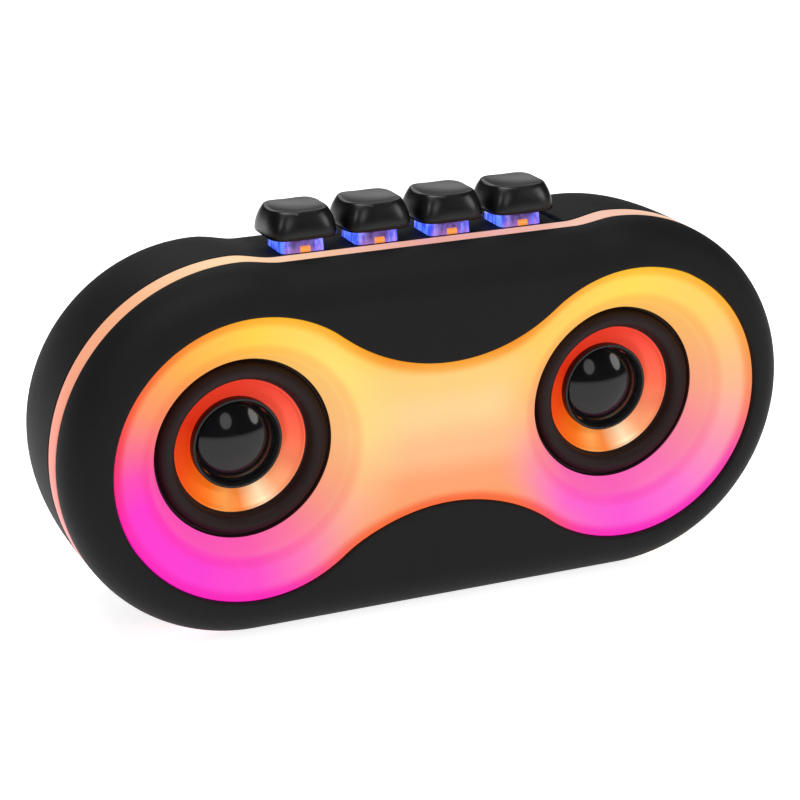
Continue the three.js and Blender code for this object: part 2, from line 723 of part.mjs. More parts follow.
add(inside, "key_board", keyBoard(), circuitGreen);
add(inside, "main_board", mainBoard(), circuitGreen);
add(inside, "port_panel", portPanel(), satinBlack);
add(inside, "usb_socket", usbSocket(), stampedSteel);
add(inside, "card_socket", cardSocket(), stampedSteel);
add(inside, "aux_socket", auxSocket(), satinBlack);
add(inside, "battery_cell", batteryCell(), cellWrap);
add(inside, "battery_cradle", batteryCradle(), satinBlack);
add(inside, "driver_lead_left", driverLead(-1), leadRed);
add(inside, "driver_lead_right", driverLead(1), leadRed);
add(inside, "battery_lead", batteryLead(), leadRed);

// ---------------------------------------------------------------- assembly

const speaker = new THREE.Group();
speaker.add(casing, feet, inside);
addDriver(speaker, "left", -LOBE_X);
addDriver(speaker, "right", LOBE_X);
for (let i = 0; i < KEY_COUNT; i += 1) {
  addKey(speaker, i);
}

export default speaker;
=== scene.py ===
import math

import bmesh
import bpy
import numpy as np
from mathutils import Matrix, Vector


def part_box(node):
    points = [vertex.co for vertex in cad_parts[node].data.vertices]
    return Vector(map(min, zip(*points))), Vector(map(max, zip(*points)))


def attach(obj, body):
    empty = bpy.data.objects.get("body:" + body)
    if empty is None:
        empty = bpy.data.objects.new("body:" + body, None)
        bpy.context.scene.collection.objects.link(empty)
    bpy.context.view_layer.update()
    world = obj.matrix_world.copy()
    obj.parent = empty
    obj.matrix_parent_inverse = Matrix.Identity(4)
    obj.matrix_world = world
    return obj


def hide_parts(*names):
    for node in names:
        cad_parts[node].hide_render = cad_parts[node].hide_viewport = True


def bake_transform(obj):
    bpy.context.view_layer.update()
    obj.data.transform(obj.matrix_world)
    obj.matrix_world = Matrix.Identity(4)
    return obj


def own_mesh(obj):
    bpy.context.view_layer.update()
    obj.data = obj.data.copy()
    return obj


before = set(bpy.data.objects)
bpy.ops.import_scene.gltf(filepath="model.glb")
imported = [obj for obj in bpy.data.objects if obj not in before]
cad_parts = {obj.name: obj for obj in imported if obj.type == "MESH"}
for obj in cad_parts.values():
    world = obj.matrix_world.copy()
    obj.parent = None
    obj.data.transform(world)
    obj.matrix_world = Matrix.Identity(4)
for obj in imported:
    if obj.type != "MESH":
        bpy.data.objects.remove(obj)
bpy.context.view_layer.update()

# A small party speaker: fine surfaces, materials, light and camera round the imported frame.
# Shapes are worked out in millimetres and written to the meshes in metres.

MM = 0.001
X, Y, Z = 0, 1, 2


def span(node, axis):
    """The lowest and highest millimetre of a CAD node along an axis."""
    low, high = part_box(node)
    return low[axis] / MM, high[axis] / MM


def middle(node, axis):
    low, high = span(node, axis)
    return (low + high) / 2


def length(node, axis):
    low, high = span(node, axis)
    return high - low


# ---------------------------------------------------------------- dimensions from the frame

SHELL_BOTTOM, SHELL_TOP = span("front_shell", Z)
LOBE_RADIUS = (SHELL_TOP - SHELL_BOTTOM) / 2
LOBE_X = span("front_shell", X)[1] - LOBE_RADIUS
AXIS_Z = (SHELL_TOP + SHELL_BOTTOM) / 2
FRONT_Y, FRONT_RIM_Y = span("front_shell", Y)
BAND_FRONT_Y, BAND_BACK_Y = span("light_band", Y)
REAR_RIM_Y, BACK_Y = span("rear_shell", Y)
RING_Y = span("front_diffuser", Y)[1]
KEYS = (1, 2, 3, 4)
SIDES = ("left", "right")
KEY_Y = middle("keycap_1", Y)
BASE_DROP = 2
DECK_Z = span("switch_base_1", Z)[1] + BASE_DROP

# Shapes that the plain frame only hints at.
WALL = 2.4
GAP = 0.12
FACE_RADIUS = 34.8
FRONT_ROUNDNESS = 2.2
BACK_RADIUS = 38.1
BACK_ROUNDNESS = 2.5
DECK_SINK = 1.6
DECK_HALF_LENGTH = 37.8
CREST = 0.35
WINDOW_RADIUS = 34.9
NECK_HALF_HEIGHT = 17.8
LIP = 0.55
BAND_THICKNESS = 3.6
RING_RADIUS = 22.15
LOBE_STEPS = 96


# ---------------------------------------------------------------- mesh making

SHARP = 35


def add_object(name, data):
    made = bpy.data.objects.new(name, data)
    bpy.context.scene.collection.objects.link(made)
    return made


def smooth(mesh, sharp=SHARP):
    """Smooth shading, with edges over sharp degrees kept crisp."""
    mesh.polygons.foreach_set("use_smooth", [True] * len(mesh.polygons))
    mesh.set_sharp_from_angle(angle=math.radians(sharp))


def finish_mesh(name, points, faces, material, sharp=SHARP):
    """A smooth-shaded object from points in millimetres, with its faces turned outwards."""
    mesh = bpy.data.meshes.new(name)
    mesh.from_pydata((np.asarray(points, float) * MM).tolist(), [], faces)
    made = bmesh.new()
    made.from_mesh(mesh)
    bmesh.ops.remove_doubles(made, verts=made.verts, dist=1e-6)
    bmesh.ops.dissolve_degenerate(made, edges=made.edges, dist=1e-7)
    bmesh.ops.recalc_face_normals(made, faces=made.faces)
    made.to_mesh(mesh)
    made.free()
    smooth(mesh, sharp)
    mesh.materials.append(material)
    return add_object(name, mesh)


def wrap_faces(rows, columns, loop):
    """Faces of a grid whose columns close on themselves, and whose rows do if loop is true."""
    faces = []
    for row in range(rows if loop else rows - 1):
        here, there = row * columns, ((row + 1) % rows) * columns
        for column in range(columns):
            beside = (column + 1) % columns
            faces.append((here + column, here + beside, there + beside, there + column))
    return faces


def skin(name, rows, material, loop=False, sharp=SHARP):
    """A skin through rows of points. Unless the rows loop, both ends are closed with a face."""
    rows = np.asarray(rows, float)
    count, columns = rows.shape[:2]
    faces = wrap_faces(count, columns, loop)
    if not loop:
        faces.append(tuple(range(columns)))
        faces.append(tuple(range((count - 1) * columns, count * columns)))
    return finish_mesh(name, rows.reshape(-1, 3), faces, material, sharp)


def turned(name, profile, x, material, steps=128, sharp=SHARP):
    """A piece turned about a driver's axis, from [radius, depth behind the ring] points."""
    profile = np.asarray(profile, float)
    angles = np.linspace(0, 2 * math.pi, steps, endpoint=False)
    rows = [
        np.stack([x + r * np.cos(angles), np.full(steps, RING_Y + d), AXIS_Z + r * np.sin(angles)], 1)
        for r, d in profile
    ]
    on_axis = profile[0][0] == 0
    points = np.concatenate(rows)
    return finish_mesh(name, points, wrap_faces(len(rows), steps, not on_axis), material, sharp)


def arc(centre, radius, start, end, steps, rise=1):
    """Points along an arc from start to end degrees; rise squeezes it along the second axis."""
    angles = np.radians(np.linspace(start, end, steps + 1))
    return [
        (centre[0] + radius * math.cos(a), centre[1] + rise * radius * math.sin(a)) for a in angles
    ]


def combine(piece, others, operation):
    """Joins closed pieces to another or cuts them out of it, and throws them away."""
    for other in others:
        modifier = piece.modifiers.new(operation, "BOOLEAN")
        modifier.operation = operation
        modifier.solver = "EXACT"
        modifier.object = other
    bpy.context.view_layer.update()
    evaluated = piece.evaluated_get(bpy.context.evaluated_depsgraph_get())
    mesh = bpy.data.meshes.new_from_object(evaluated)
    piece.modifiers.clear()
    piece.data = mesh
    for other in others:
        bpy.data.objects.remove(other)
    smooth(mesh)
    return piece


def cut_with(piece, *cutters):
    return combine(piece, cutters, "DIFFERENCE")


def join_with(piece, *others):
    return combine(piece, others, "UNION")


def place(piece, body, slot, *nodes):
    """The piece rides on a body and stands for CAD nodes, which are hidden. The slot is not used."""
    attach(piece, body)
    if nodes:
        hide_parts(*nodes)
    return piece


# ---------------------------------------------------------------- materials

NOISE_ROUGHNESS = 0.55
UNLIT = (0.01, 0.01, 0.01)


class Paint:
    """A material's node tree, with short calls for the nodes that the finishes below need."""

    def __init__(self, name, colour, roughness, metallic=0.0, specular=0.5):
        self.material = bpy.data.materials.new(name)
        self.material.use_nodes = True
        self.tree = self.material.node_tree
        self.shader = self.tree.nodes["Principled BSDF"]
        self.shader.inputs["Base Color"].default_value = (*colour, 1)
        self.shader.inputs["Roughness"].default_value = roughness
        self.shader.inputs["Metallic"].default_value = metallic
        self.shader.inputs["Specular IOR Level"].default_value = specular
        self.place = self.node("ShaderNodeTexCoord").outputs["Object"]

    def node(self, kind, settings=None, **inputs):
        made = self.tree.nodes.new(kind)
        for name, value in (settings or {}).items():
            setattr(made, name, value)
        for name, value in inputs.items():
            self.feed(made.inputs[name.replace("_", " ")], value)
        return made

    def feed(self, socket, value):
        if isinstance(value, bpy.types.NodeSocket):
            self.tree.links.new(value, socket)
        else:
            socket.default_value = value

    def set(self, name, value):
        self.feed(self.shader.inputs[name], value)

    def math(self, operation, first, second=0.0):
        made = self.node("ShaderNodeMath", {"operation": operation})
        for socket, value in zip(made.inputs, (first, second)):
            self.feed(socket, value)
        return made.outputs[0]

    def plus(self, first, second):
        return self.math("ADD", first, second)

    def minus(self, first, second):
        return self.math("SUBTRACT", first, second)

    def times(self, first, second):
        return self.math("MULTIPLY", first, second)

    def over(self, first, second):
        return self.math("DIVIDE", first, second)

    def size(self, value):
        return self.math("ABSOLUTE", value)

    def ease(self, value, low, high, start=0.0, end=1.0):
        """Runs smoothly from start to end as value goes from low to high."""
        made = self.node("ShaderNodeMapRange", {"interpolation_type": "SMOOTHSTEP"})
        numbers = (value, low, high, start, end)
        for socket, number in zip(made.inputs, numbers):
            self.feed(socket, number)
        return made.outputs["Result"]

    def mix(self, factor, first, second, blend="MIX"):
        made = self.node("ShaderNodeMix", {"data_type": "RGBA", "blend_type": blend})
        self.feed(made.inputs["Factor"], factor)
        for name, value in (("A", first), ("B", second)):
            socket = [s for s in made.inputs if s.name == name and s.type == "RGBA"][0]
            self.feed(socket, value if isinstance(value, bpy.types.NodeSocket) else (*value, 1))
        return [s for s in made.outputs if s.type == "RGBA"][0]

    def ramp(self, factor, stops, interpolation="EASE"):
        """A colour ramp through (position, colour) stops."""
        made = self.node("ShaderNodeValToRGB", Fac=factor)
        made.color_ramp.interpolation = interpolation
        elements = made.color_ramp.elements
        while len(elements) < len(stops):
            elements.new(0.5)
        for element, (position, colour) in zip(elements, stops):
            element.position = position
            element.color = (*colour, 1)
        return made.outputs["Color"]

    def noise(self, size, detail=3.0):
        """Noise whose grain is about size millimetres, from 0 to 1."""
        made = self.node(
            "ShaderNodeTexNoise", Vector=self.place, Scale=1 / (size * MM), Detail=detail,
            Roughness=NOISE_ROUGHNESS,
        )
        return made.outputs["Fac"]

    def streaks(self, size, detail, scale):
        """Noise drawn out along each axis whose scale is under 1."""
        drawn = self.node("ShaderNodeMapping", Vector=self.place, Scale=scale)
        made = self.node(
            "ShaderNodeTexNoise", Vector=drawn.outputs["Vector"], Scale=1 / (size * MM),
            Detail=detail,
        )
        return made.outputs["Fac"]

    def bump(self, height, depth):
        """Bumps depth millimetres high."""
        made = self.node("ShaderNodeBump", Height=height, Distance=depth * MM, Strength=1.0)
        self.set("Normal", made.outputs["Normal"])

    def shine(self, colour, strength):
        self.set("Emission Color", colour)
        self.set("Emission Strength", strength)

    def vary_roughness(self, factor, low, high):
        self.set("Roughness", self.node(
            "ShaderNodeMapRange", Value=factor, To_Min=low, To_Max=high,
        ).outputs["Result"])

    def xyz(self):
        """The place in millimetres, as three numbers."""
        parts = self.node("ShaderNodeSeparateXYZ", Vector=self.place)
        return [self.over(parts.outputs[i], MM) for i in range(3)]

    def face_place(self):
        """How far right of the middle and above the driver axes a place is, in millimetres."""
        x, _, height = self.xyz()
        return x, self.minus(height, AXIS_Z)


def srgb(red, green, blue):
    """A screen colour as linear light."""
    return tuple(
        c / 12.92 if c <= 0.04045 else ((c + 0.055) / 1.055) ** 2.4
        for c in (red / 255, green / 255, blue / 255)
    )


def cloudy(name, dark, light, gloss, cloud, grain, depth, specular):
    """A cloud varies colour and roughness, and a fine grain makes bumps depth millimetres high.

    gloss is the least and greatest roughness; cloud and grain are each (size, detail).
    """
    paint = Paint(name, dark, gloss[0], specular=specular)
    clouds = paint.noise(*cloud)
    if gloss[0] < gloss[1]:
        paint.vary_roughness(clouds, *gloss)
    paint.set("Base Color", paint.mix(clouds, dark, light))
    paint.bump(paint.noise(*grain), depth)
    return paint.material


def moulded_black(name, tone, low, high, grain_size=0.22, specular=0.45):
    """Spark-eroded satin plastic."""
    dark = (tone, tone, tone * 1.03)
    light = tuple(c * 1.3 for c in dark)
    return cloudy(name, dark, light, (low, high), (5, 2), (grain_size, 5), 0.01, specular)


# Screen colours round each lobe of the lit diffuser, by angle in degrees from +X towards +Z.
LEFT_GLOW = (
    (0, (254, 214, 136)), (45, (255, 226, 112)), (90, (254, 210, 66)), (125, (253, 176, 68)),
    (150, (252, 146, 98)), (168, (251, 104, 142)), (180, (252, 66, 178)), (196, (255, 40, 205)),
    (240, (254, 54, 212)), (270, (255, 74, 202)), (296, (254, 120, 180)), (318, (253, 164, 150)),
    (340, (254, 192, 132)),
)
RIGHT_GLOW = (
    (0, (254, 186, 145)), (40, (254, 210, 104)), (90, (254, 220, 78)), (150, (253, 204, 94)),
    (180, (254, 188, 125)), (205, (252, 146, 158)), (235, (254, 96, 204)), (270, (255, 84, 214)),
    (300, (254, 110, 210)), (330, (254, 148, 180)),
)
# Screen colours up the neck, by height in millimetres above the driver axes.
NECK_GLOW = (
    (-20, (252, 158, 100)), (-12, (254, 162, 108)), (-4, (254, 190, 136)), (6, (254, 212, 145)),
    (14, (253, 208, 122)), (22, (252, 192, 70)),
)


def lobe_angle(paint, x, z, lobe_x):
    """The angle about a lobe's centre, from 0 to 1 round the circle."""
    across = paint.minus(x, lobe_x)
    turn = paint.over(paint.math("ARCTAN2", z, across), 2 * math.pi)
    return paint.math("FRACT", paint.plus(turn, 1))


def lobe_colour(paint, x, z, lobe_x, glow):
    stops = [(degrees / 360, srgb(*colour)) for degrees, colour in glow]
    stops.append((1.0, stops[0][1]))
    return paint.ramp(lobe_angle(paint, x, z, lobe_x), stops, "LINEAR")


def lobe_distance(paint, x, z, lobe_x):
    across = paint.minus(x, lobe_x)
    squares = paint.plus(paint.math("POWER", across, 2), paint.math("POWER", z, 2))
    return paint.math("SQRT", squares)


def outline_distance(paint, x, z, near):
    """How far inside the diffuser's outline a place is: from its lobe, or from the neck's arcs."""
    centre, radius = fillet(NECK_HALF_HEIGHT, WINDOW_RADIUS)
    height = paint.size(z)
    above = paint.minus(height, centre)
    squares = paint.plus(paint.math("POWER", x, 2), paint.math("POWER", above, 2))
    neck = paint.minus(paint.math("SQRT", squares), radius)
    # The two meet on the straight line from a lobe's centre to the arc's centre.
    fall = paint.times(paint.size(x), centre / LOBE_X)
    line = paint.minus(centre, fall)
    on_neck = paint.math("LESS_THAN", height, line)
    lobe = paint.minus(WINDOW_RADIUS, near)
    share = paint.times(on_neck, paint.minus(neck, lobe))
    return paint.plus(lobe, share)


def lit_diffuser():
    """Milky plastic over a ring of coloured lights: each lobe turns from yellow to magenta."""
    paint = Paint("lit_diffuser", (0.6, 0.45, 0.35), 0.4, specular=0.12)
    x, z = paint.face_place()
    left = lobe_colour(paint, x, z, -LOBE_X, LEFT_GLOW)
    right = lobe_colour(paint, x, z, LOBE_X, RIGHT_GLOW)
    low, high = NECK_GLOW[0][0], NECK_GLOW[-1][0]
    stops = [((rise - low) / (high - low), srgb(*colour)) for rise, colour in NECK_GLOW]
    neck = paint.ramp(paint.over(paint.minus(z, low), high - low), stops)
    lobes = paint.mix(paint.ease(x, -8, 8), left, right)
    both = [lobe_distance(paint, x, z, lobe_x) for lobe_x in (-LOBE_X, LOBE_X)]
    near = paint.math("MINIMUM", *both)
    inward = paint.ease(paint.size(x), 22, 46, 1, 0)
    away = paint.ease(near, 27, 40)
    glow = paint.mix(paint.times(inward, away), lobes, neck)
    # The collars are lit less evenly, and the outer edge is deeper in colour.
    collar = paint.ease(near, 24.2, 26.2, 1, 0)
    glow = paint.mix(paint.times(collar, 0.34), glow, srgb(250, 118, 104))
    # A darker ring just outside the collar, where it meets the dish, is painted shade.
    groove_shade = paint.times(
        paint.ease(near, 24.6, 25.8), paint.ease(near, 26.2, 28.4, 1, 0),
    )
    glow = paint.mix(paint.times(groove_shade, 0.5), glow, (0.98, 0.55, 0.62), "MULTIPLY")
    rim = paint.ease(outline_distance(paint, x, z, near), 1.0, 3.4, 1, 0)
    deep = paint.mix(1.0, glow, glow, "MULTIPLY")
    low_lobe = paint.times(
        paint.ease(z, -22, -6, 1, 0), paint.ease(paint.size(x), 26, 44),
    )
    deep = paint.mix(paint.times(low_lobe, 0.65), deep, srgb(250, 12, 192))
    glow = paint.mix(paint.times(rim, 0.9), glow, deep)
    cloud = paint.ramp(paint.noise(9, 2), ((0.3, (0.6, 0.6, 0.6)), (0.7, (1, 1, 1))))
    glow = paint.mix(0.05, glow, cloud, "MULTIPLY")
    paint.shine(glow, 0.95)
    paint.set("Base Color", paint.mix(0.97, glow, UNLIT))
    paint.bump(paint.noise(0.3, 2), 0.004)
    return paint.material


# Screen colours of the light band, by share of a turn about its middle: clockwise as seen from the
# front, starting a little left of the lowest point.
BAND_GLOW = (
    (0.0, (232, 150, 178)), (0.1, (224, 130, 172)), (0.15, (234, 130, 148)), (0.22, (236, 134, 120)),
    (0.29, (245, 176, 132)), (0.335, (249, 208, 162)), (0.4, (238, 184, 154)), (0.47, (228, 162, 151)),
    (0.56, (233, 174, 160)), (0.64, (242, 202, 172)), (0.72, (243, 214, 184)), (0.85, (246, 190, 166)),
    (1.0, (232, 150, 178)),
)
BAND_GLOW_START = 1.72


def lit_band():
    """The same milky plastic as a narrow ring, lit from behind by its own lights."""
    paint = Paint("lit_band", (0.6, 0.4, 0.35), 0.4, specular=0.15)
    x, z = paint.face_place()
    angle = paint.over(paint.math("ARCTAN2", z, x), 2 * math.pi)
    turn = paint.math("FRACT", paint.minus(BAND_GLOW_START, angle))
    glow = paint.ramp(turn, [(share, srgb(*colour)) for share, colour in BAND_GLOW], "LINEAR")
    paint.shine(glow, 0.97)
    paint.set("Base Color", paint.mix(0.95, glow, UNLIT))
    paint.bump(paint.noise(0.3, 2), 0.004)
    return paint.material


SPUN_PITCH = 0.24
WIRE_PITCH = 0.2


def spun_copper(lobe_x):
    """Copper-coloured metal film with fine spun rings, painted with reflections: its colour and glow
    run round the cone as painted reflections of the lights, with a painted glint.
    """
    side = "left" if lobe_x < 0 else "right"
    paint = Paint(f"spun_copper_{side}", (0.8, 0.2, 0.06), 0.36, 0.8)
    x, z = paint.face_place()
    near = lobe_distance(paint, x, z, lobe_x)
    rings = paint.math("SINE", paint.times(near, 2 * math.pi / SPUN_PITCH))
    # Painted reflections by angle round the cone: reds and oranges of the lit diffuser, and a cream
    # painted glint below the axis, a little to the right.
    stops = (
        (0.0, srgb(242, 98, 66)), (0.12, srgb(242, 76, 58)), (0.25, srgb(238, 62, 40)),
        (0.42, srgb(228, 50, 20)), (0.55, srgb(246, 78, 16)), (0.66, srgb(252, 120, 24)),
        (0.71, srgb(253, 160, 78)), (0.75, srgb(250, 138, 60)), (0.81, srgb(255, 222, 178)),
        (0.86, srgb(250, 162, 112)), (0.93, srgb(246, 132, 92)), (1.0, srgb(242, 98, 66)),
    )
    tone_and_reflection = paint.ramp(lobe_angle(paint, x, z, lobe_x), stops, "LINEAR")
    paint.set("Base Color", paint.mix(0.72, tone_and_reflection, (0.02, 0.01, 0.01)))
    paint.bump(rings, 0.0025)
    # The cone glows with painted light.
    paint.shine(tone_and_reflection, 0.8)
    return paint.material


def gloss_black():
    """Polished cap: a very faint ripple and dust in an otherwise mirror finish."""
    paint = Paint("dome_gloss", (0.004, 0.004, 0.0045), 0.05, specular=0.28)
    paint.vary_roughness(paint.noise(1.5, 4), 0.07, 0.12)
    tone_and_reflection = paint.mix(paint.noise(4, 2), (0.003, 0.003, 0.0035), (0.006, 0.006, 0.007))
    paint.set("Base Color", tone_and_reflection)
    paint.bump(paint.noise(6, 1), 0.004)
    return paint.material


def clear_blue():
    """Clear blue switch housings that glow with painted light: deep in the middle, painted lighter in
    the corners and on the flanks, with a pinkish painted reflection low on the front.
    """
    paint = Paint("clear_blue", (0.3, 0.4, 0.98), 0.08, specular=0.6)
    x, _, height = paint.xyz()
    first_x = middle("keycap_1", X)
    pitch = middle("keycap_2", X) - first_x
    # How far a place is from the middle of the nearest key.
    turns = paint.plus(paint.over(paint.minus(x, first_x), pitch), 0.5)
    beside = paint.times(paint.minus(paint.math("FRACT", turns), 0.5), pitch)
    # The corners are painted lighter: painted light.
    corner = paint.ease(paint.size(beside), 2.4, 4.6)
    streaks = paint.streaks(1.3, 2.0, (1, 1, 0.35))
    patches = paint.ease(streaks, 0.42, 0.58)
    normal = paint.node("ShaderNodeTexCoord").outputs["Normal"]
    sideways = paint.node("ShaderNodeSeparateXYZ", Vector=normal).outputs[0]
    # Faces turned to the sides are painted lighter: painted light on the flanks.
    flank = paint.ease(paint.size(sideways), 0.55, 0.8)
    # Pinkish colour low on the front is a painted reflection.
    low = paint.ease(height, DECK_Z, DECK_Z + 1.8, 1, 0)
    middle_tone = paint.mix(patches, (0.03, 0.014, 0.07), (0.10, 0.06, 0.22))
    corner_light = paint.mix(patches, (0.09, 0.07, 0.42), (0.34, 0.28, 0.80))
    front = paint.mix(corner, middle_tone, corner_light)
    front = paint.mix(paint.times(low, 0.45), front, (0.42, 0.17, 0.36))
    side = paint.mix(patches, (0.02, 0.06, 0.55), (0.13, 0.27, 0.92))
    glow = paint.mix(flank, front, side)
    paint.set("Base Color", paint.mix(0.4, glow, (0.5, 0.5, 1.0)))
    paint.set("Transmission Weight", 0.5)
    paint.set("IOR", 1.46)
    # The housings glow with painted light.
    paint.shine(glow, 0.75)
    paint.bump(streaks, 0.08)
    return paint.material


def metal(name, colour, roughness):
    """Plated or drawn metal with fine streaks along X."""
    paint = Paint(name, colour, roughness, 1.0)
    streaks = paint.streaks(0.3, 3.0, (0.1, 1, 1))
    paint.vary_roughness(streaks, roughness * 0.8, roughness * 1.3)
    darker = tuple(c * 0.8 for c in colour)
    paint.set("Base Color", paint.mix(streaks, darker, colour))
    paint.bump(streaks, 0.003)
    return paint.material


def lit_copper():
    """The contact's bare copper, bright in the light that the housing gathers."""
    paint = Paint("contact_copper", (0.95, 0.42, 0.12), 0.3, 0.7)
    scratch_and_glow = paint.noise(0.35, 3)
    # The copper glows with painted light, its colour varied by the scratch noise.
    paint.shine(paint.mix(scratch_and_glow, (0.85, 0.22, 0.03), (1.0, 0.36, 0.09)), 0.85)
    paint.vary_roughness(scratch_and_glow, 0.25, 0.4)
    paint.bump(scratch_and_glow, 0.01)
    return paint.material


def grained(name, colour, roughness, grain_size=0.4, contrast=0.25, depth=0.01):
    """A plain moulded, cast or coated finish with grain in its colour, gloss and surface."""
    paint = Paint(name, colour, roughness, specular=0.4)
    grain = paint.noise(grain_size, 4)
    darker = tuple(c * (1 - contrast) for c in colour)
    lighter = tuple(min(1.0, c * (1 + contrast)) for c in colour)
    paint.set("Base Color", paint.mix(grain, darker, lighter))
    paint.vary_roughness(grain, roughness * 0.85, min(1.0, roughness * 1.15))
    paint.bump(grain, depth)
    return paint.material


def circuit_board(name, colour, copper):
    """Solder mask with straight tracks under it."""
    paint = Paint(name, colour, 0.4, specular=0.5)
    tracks = paint.node(
        "ShaderNodeTexBrick", Vector=paint.place, Scale=1 / (6 * MM), Mortar_Size=0.06,
    ).outputs["Fac"]
    paint.set("Base Color", paint.mix(tracks, colour, copper))
    paint.bump(tracks, 0.03)
    return paint.material


def woven(name, colour):
    paint = Paint(name, colour, 0.85, specular=0.3)
    weave = paint.node(
        "ShaderNodeTexChecker", Vector=paint.place, Scale=1 / (0.5 * MM),
    ).outputs["Fac"]
    paint.set("Base Color", paint.mix(weave, tuple(c * 0.7 for c in colour), colour))
    paint.bump(weave, 0.05)
    return paint.material


def wound_copper():
    """Enamelled wire, wound in close turns along the coil."""
    paint = Paint("wound_copper", (0.55, 0.2, 0.06), 0.3, 1.0)
    y = paint.xyz()[Y]
    turns = paint.math("SINE", paint.times(y, 2 * math.pi / WIRE_PITCH))
    paint.set("Base Color", paint.mix(paint.ease(turns, -1, 1), (0.4, 0.12, 0.03), (0.7, 0.28, 0.1)))
    paint.bump(turns, 0.03)
    return paint.material


# ---------------------------------------------------------------- casing outline

def fillet(neck_half_height, lobe_radius):
    """The height above the axis of the neck's hollow arc's centre, and the arc's radius."""
    rise = LOBE_X ** 2 + neck_half_height ** 2 - lobe_radius ** 2
    radius = rise / (2 * (lobe_radius - neck_half_height))
    return neck_half_height + radius, radius


def dumbbell_half_height(x, neck_half_height, lobe_radius):
    """Half the height of the dumbbell outline at x, between the lobe centres."""
    centre, radius = fillet(neck_half_height, lobe_radius)
    touch = LOBE_X - lobe_radius * math.cos(math.atan2(centre, LOBE_X))
    beside = np.clip(LOBE_X - np.abs(x), 0, lobe_radius)
    on_lobe = np.sqrt(lobe_radius ** 2 - beside ** 2)
    on_neck = centre - np.sqrt(np.maximum(radius ** 2 - np.square(x), 0))
    return np.where(np.abs(x) > touch, on_lobe, on_neck)


def deck_sink(x, depth):
    """How far the top of the casing dips at x."""
    t = np.clip((LOBE_X - np.abs(x)) / (LOBE_X - DECK_HALF_LENGTH), 0, 1)
    return depth * t * t * (3 - 2 * t)


def casing_columns():
    """Each column round the casing: the x that it starts from and the way it runs outwards."""
    step = np.concatenate([np.arange(0, LOBE_X, 0.8), DECK_HALF_LENGTH + np.arange(-1.2, 2.4, 0.2)])
    across = np.unique(np.round(np.concatenate([step, -step]), 4))
    columns = []
    for side, start in ((1, -90), (-1, 90)):
        angles = np.radians(np.linspace(start, start + 180, LOBE_STEPS + 1))
        columns += [(side * LOBE_X, math.cos(a), math.sin(a)) for a in angles]
        columns += [(-side * x, 0, side) for x in across]
    return np.array(columns)


COLUMNS = casing_columns()


def casing_row(radius, y, sink=DECK_SINK):
    """A ring of points round the casing. radius and y are numbers, or one for each column."""
    start, out_x, out_z = COLUMNS.T
    z = AXIS_Z + radius * out_z - np.where(out_z > 0, deck_sink(start, sink), 0)
    return np.stack([start + radius * out_x, np.broadcast_to(y, start.shape), z], 1)


def rounded_edge(rim_radius, face_radius, rim_y, face_y, roundness, turns):
    """Radii and depths along a quarter of a superellipse, at turns from 0 (rim) to 1 (face)."""
    angle = np.asarray(turns) * math.pi / 2
    across = np.maximum(np.cos(angle), 0) ** (2 / roundness)
    along = np.maximum(np.sin(angle), 0) ** (2 / roundness)
    return face_radius + (rim_radius - face_radius) * across, rim_y + (face_y - rim_y) * along


SOFT_BLACK = cloudy(
    "soft_touch_black", (0.006, 0.006, 0.0064), (0.0092, 0.009, 0.0088), (0.54, 0.68), (14, 3),
    (0.16, 4), 0.012, 0.09,
)
CAP_BLACK = moulded_black("cap_black", 0.0025, 0.25, 0.34, specular=0.38)
INNER_BLACK = moulded_black("inner_black", 0.02, 0.45, 0.6, 0.5)
DIFFUSER = lit_diffuser()
BAND = lit_band()
GLOSS = gloss_black()
RING_BLACK = moulded_black("ring_black", 0.009, 0.38, 0.48, specular=0.25)
SURROUND = cloudy(
    "surround_rubber", (0.012, 0.006, 0.006), (0.017, 0.009, 0.0085), (0.42, 0.58), (3, 3),
    (0.2, 3), 0.006, 0.12,
)
FOOT_RUBBER = cloudy(
    "foot_rubber", (0.014, 0.014, 0.014), (0.03, 0.03, 0.03), (0.75, 0.75), (2, 3), (0.25, 3),
    0.015, 0.3,
)
HOUSING_BLUE = clear_blue()
BRIGHT_STEEL = metal("bright_steel", (0.62, 0.63, 0.65), 0.26)
DARK_STEEL = metal("dark_steel", (0.3, 0.31, 0.33), 0.38)
CONTACT_COPPER = lit_copper()
FERRITE = grained("ferrite", (0.045, 0.045, 0.05), 0.65, 0.6)
SPIDER_CLOTH = woven("spider_cloth", (0.5, 0.27, 0.08))
COIL = wound_copper()
STEM_WHITE = grained("stem_white", (0.75, 0.72, 0.66), 0.42, 0.5, 0.06, 0.004)
BOARD_GREEN = circuit_board("board_green", (0.01, 0.09, 0.04), (0.03, 0.2, 0.09))
BOARD_WHITE = circuit_board("board_white", (0.8, 0.8, 0.78), (0.6, 0.6, 0.56))
CELL_WRAP = grained("cell_wrap", (0.04, 0.2, 0.5), 0.35, 3.0, 0.12, 0.01)
LEAD_RED = grained("lead_red", (0.45, 0.015, 0.015), 0.45, 1.0, 0.15, 0.01)


# ---------------------------------------------------------------- casing pieces

RIM_CHAMFER = 0.25


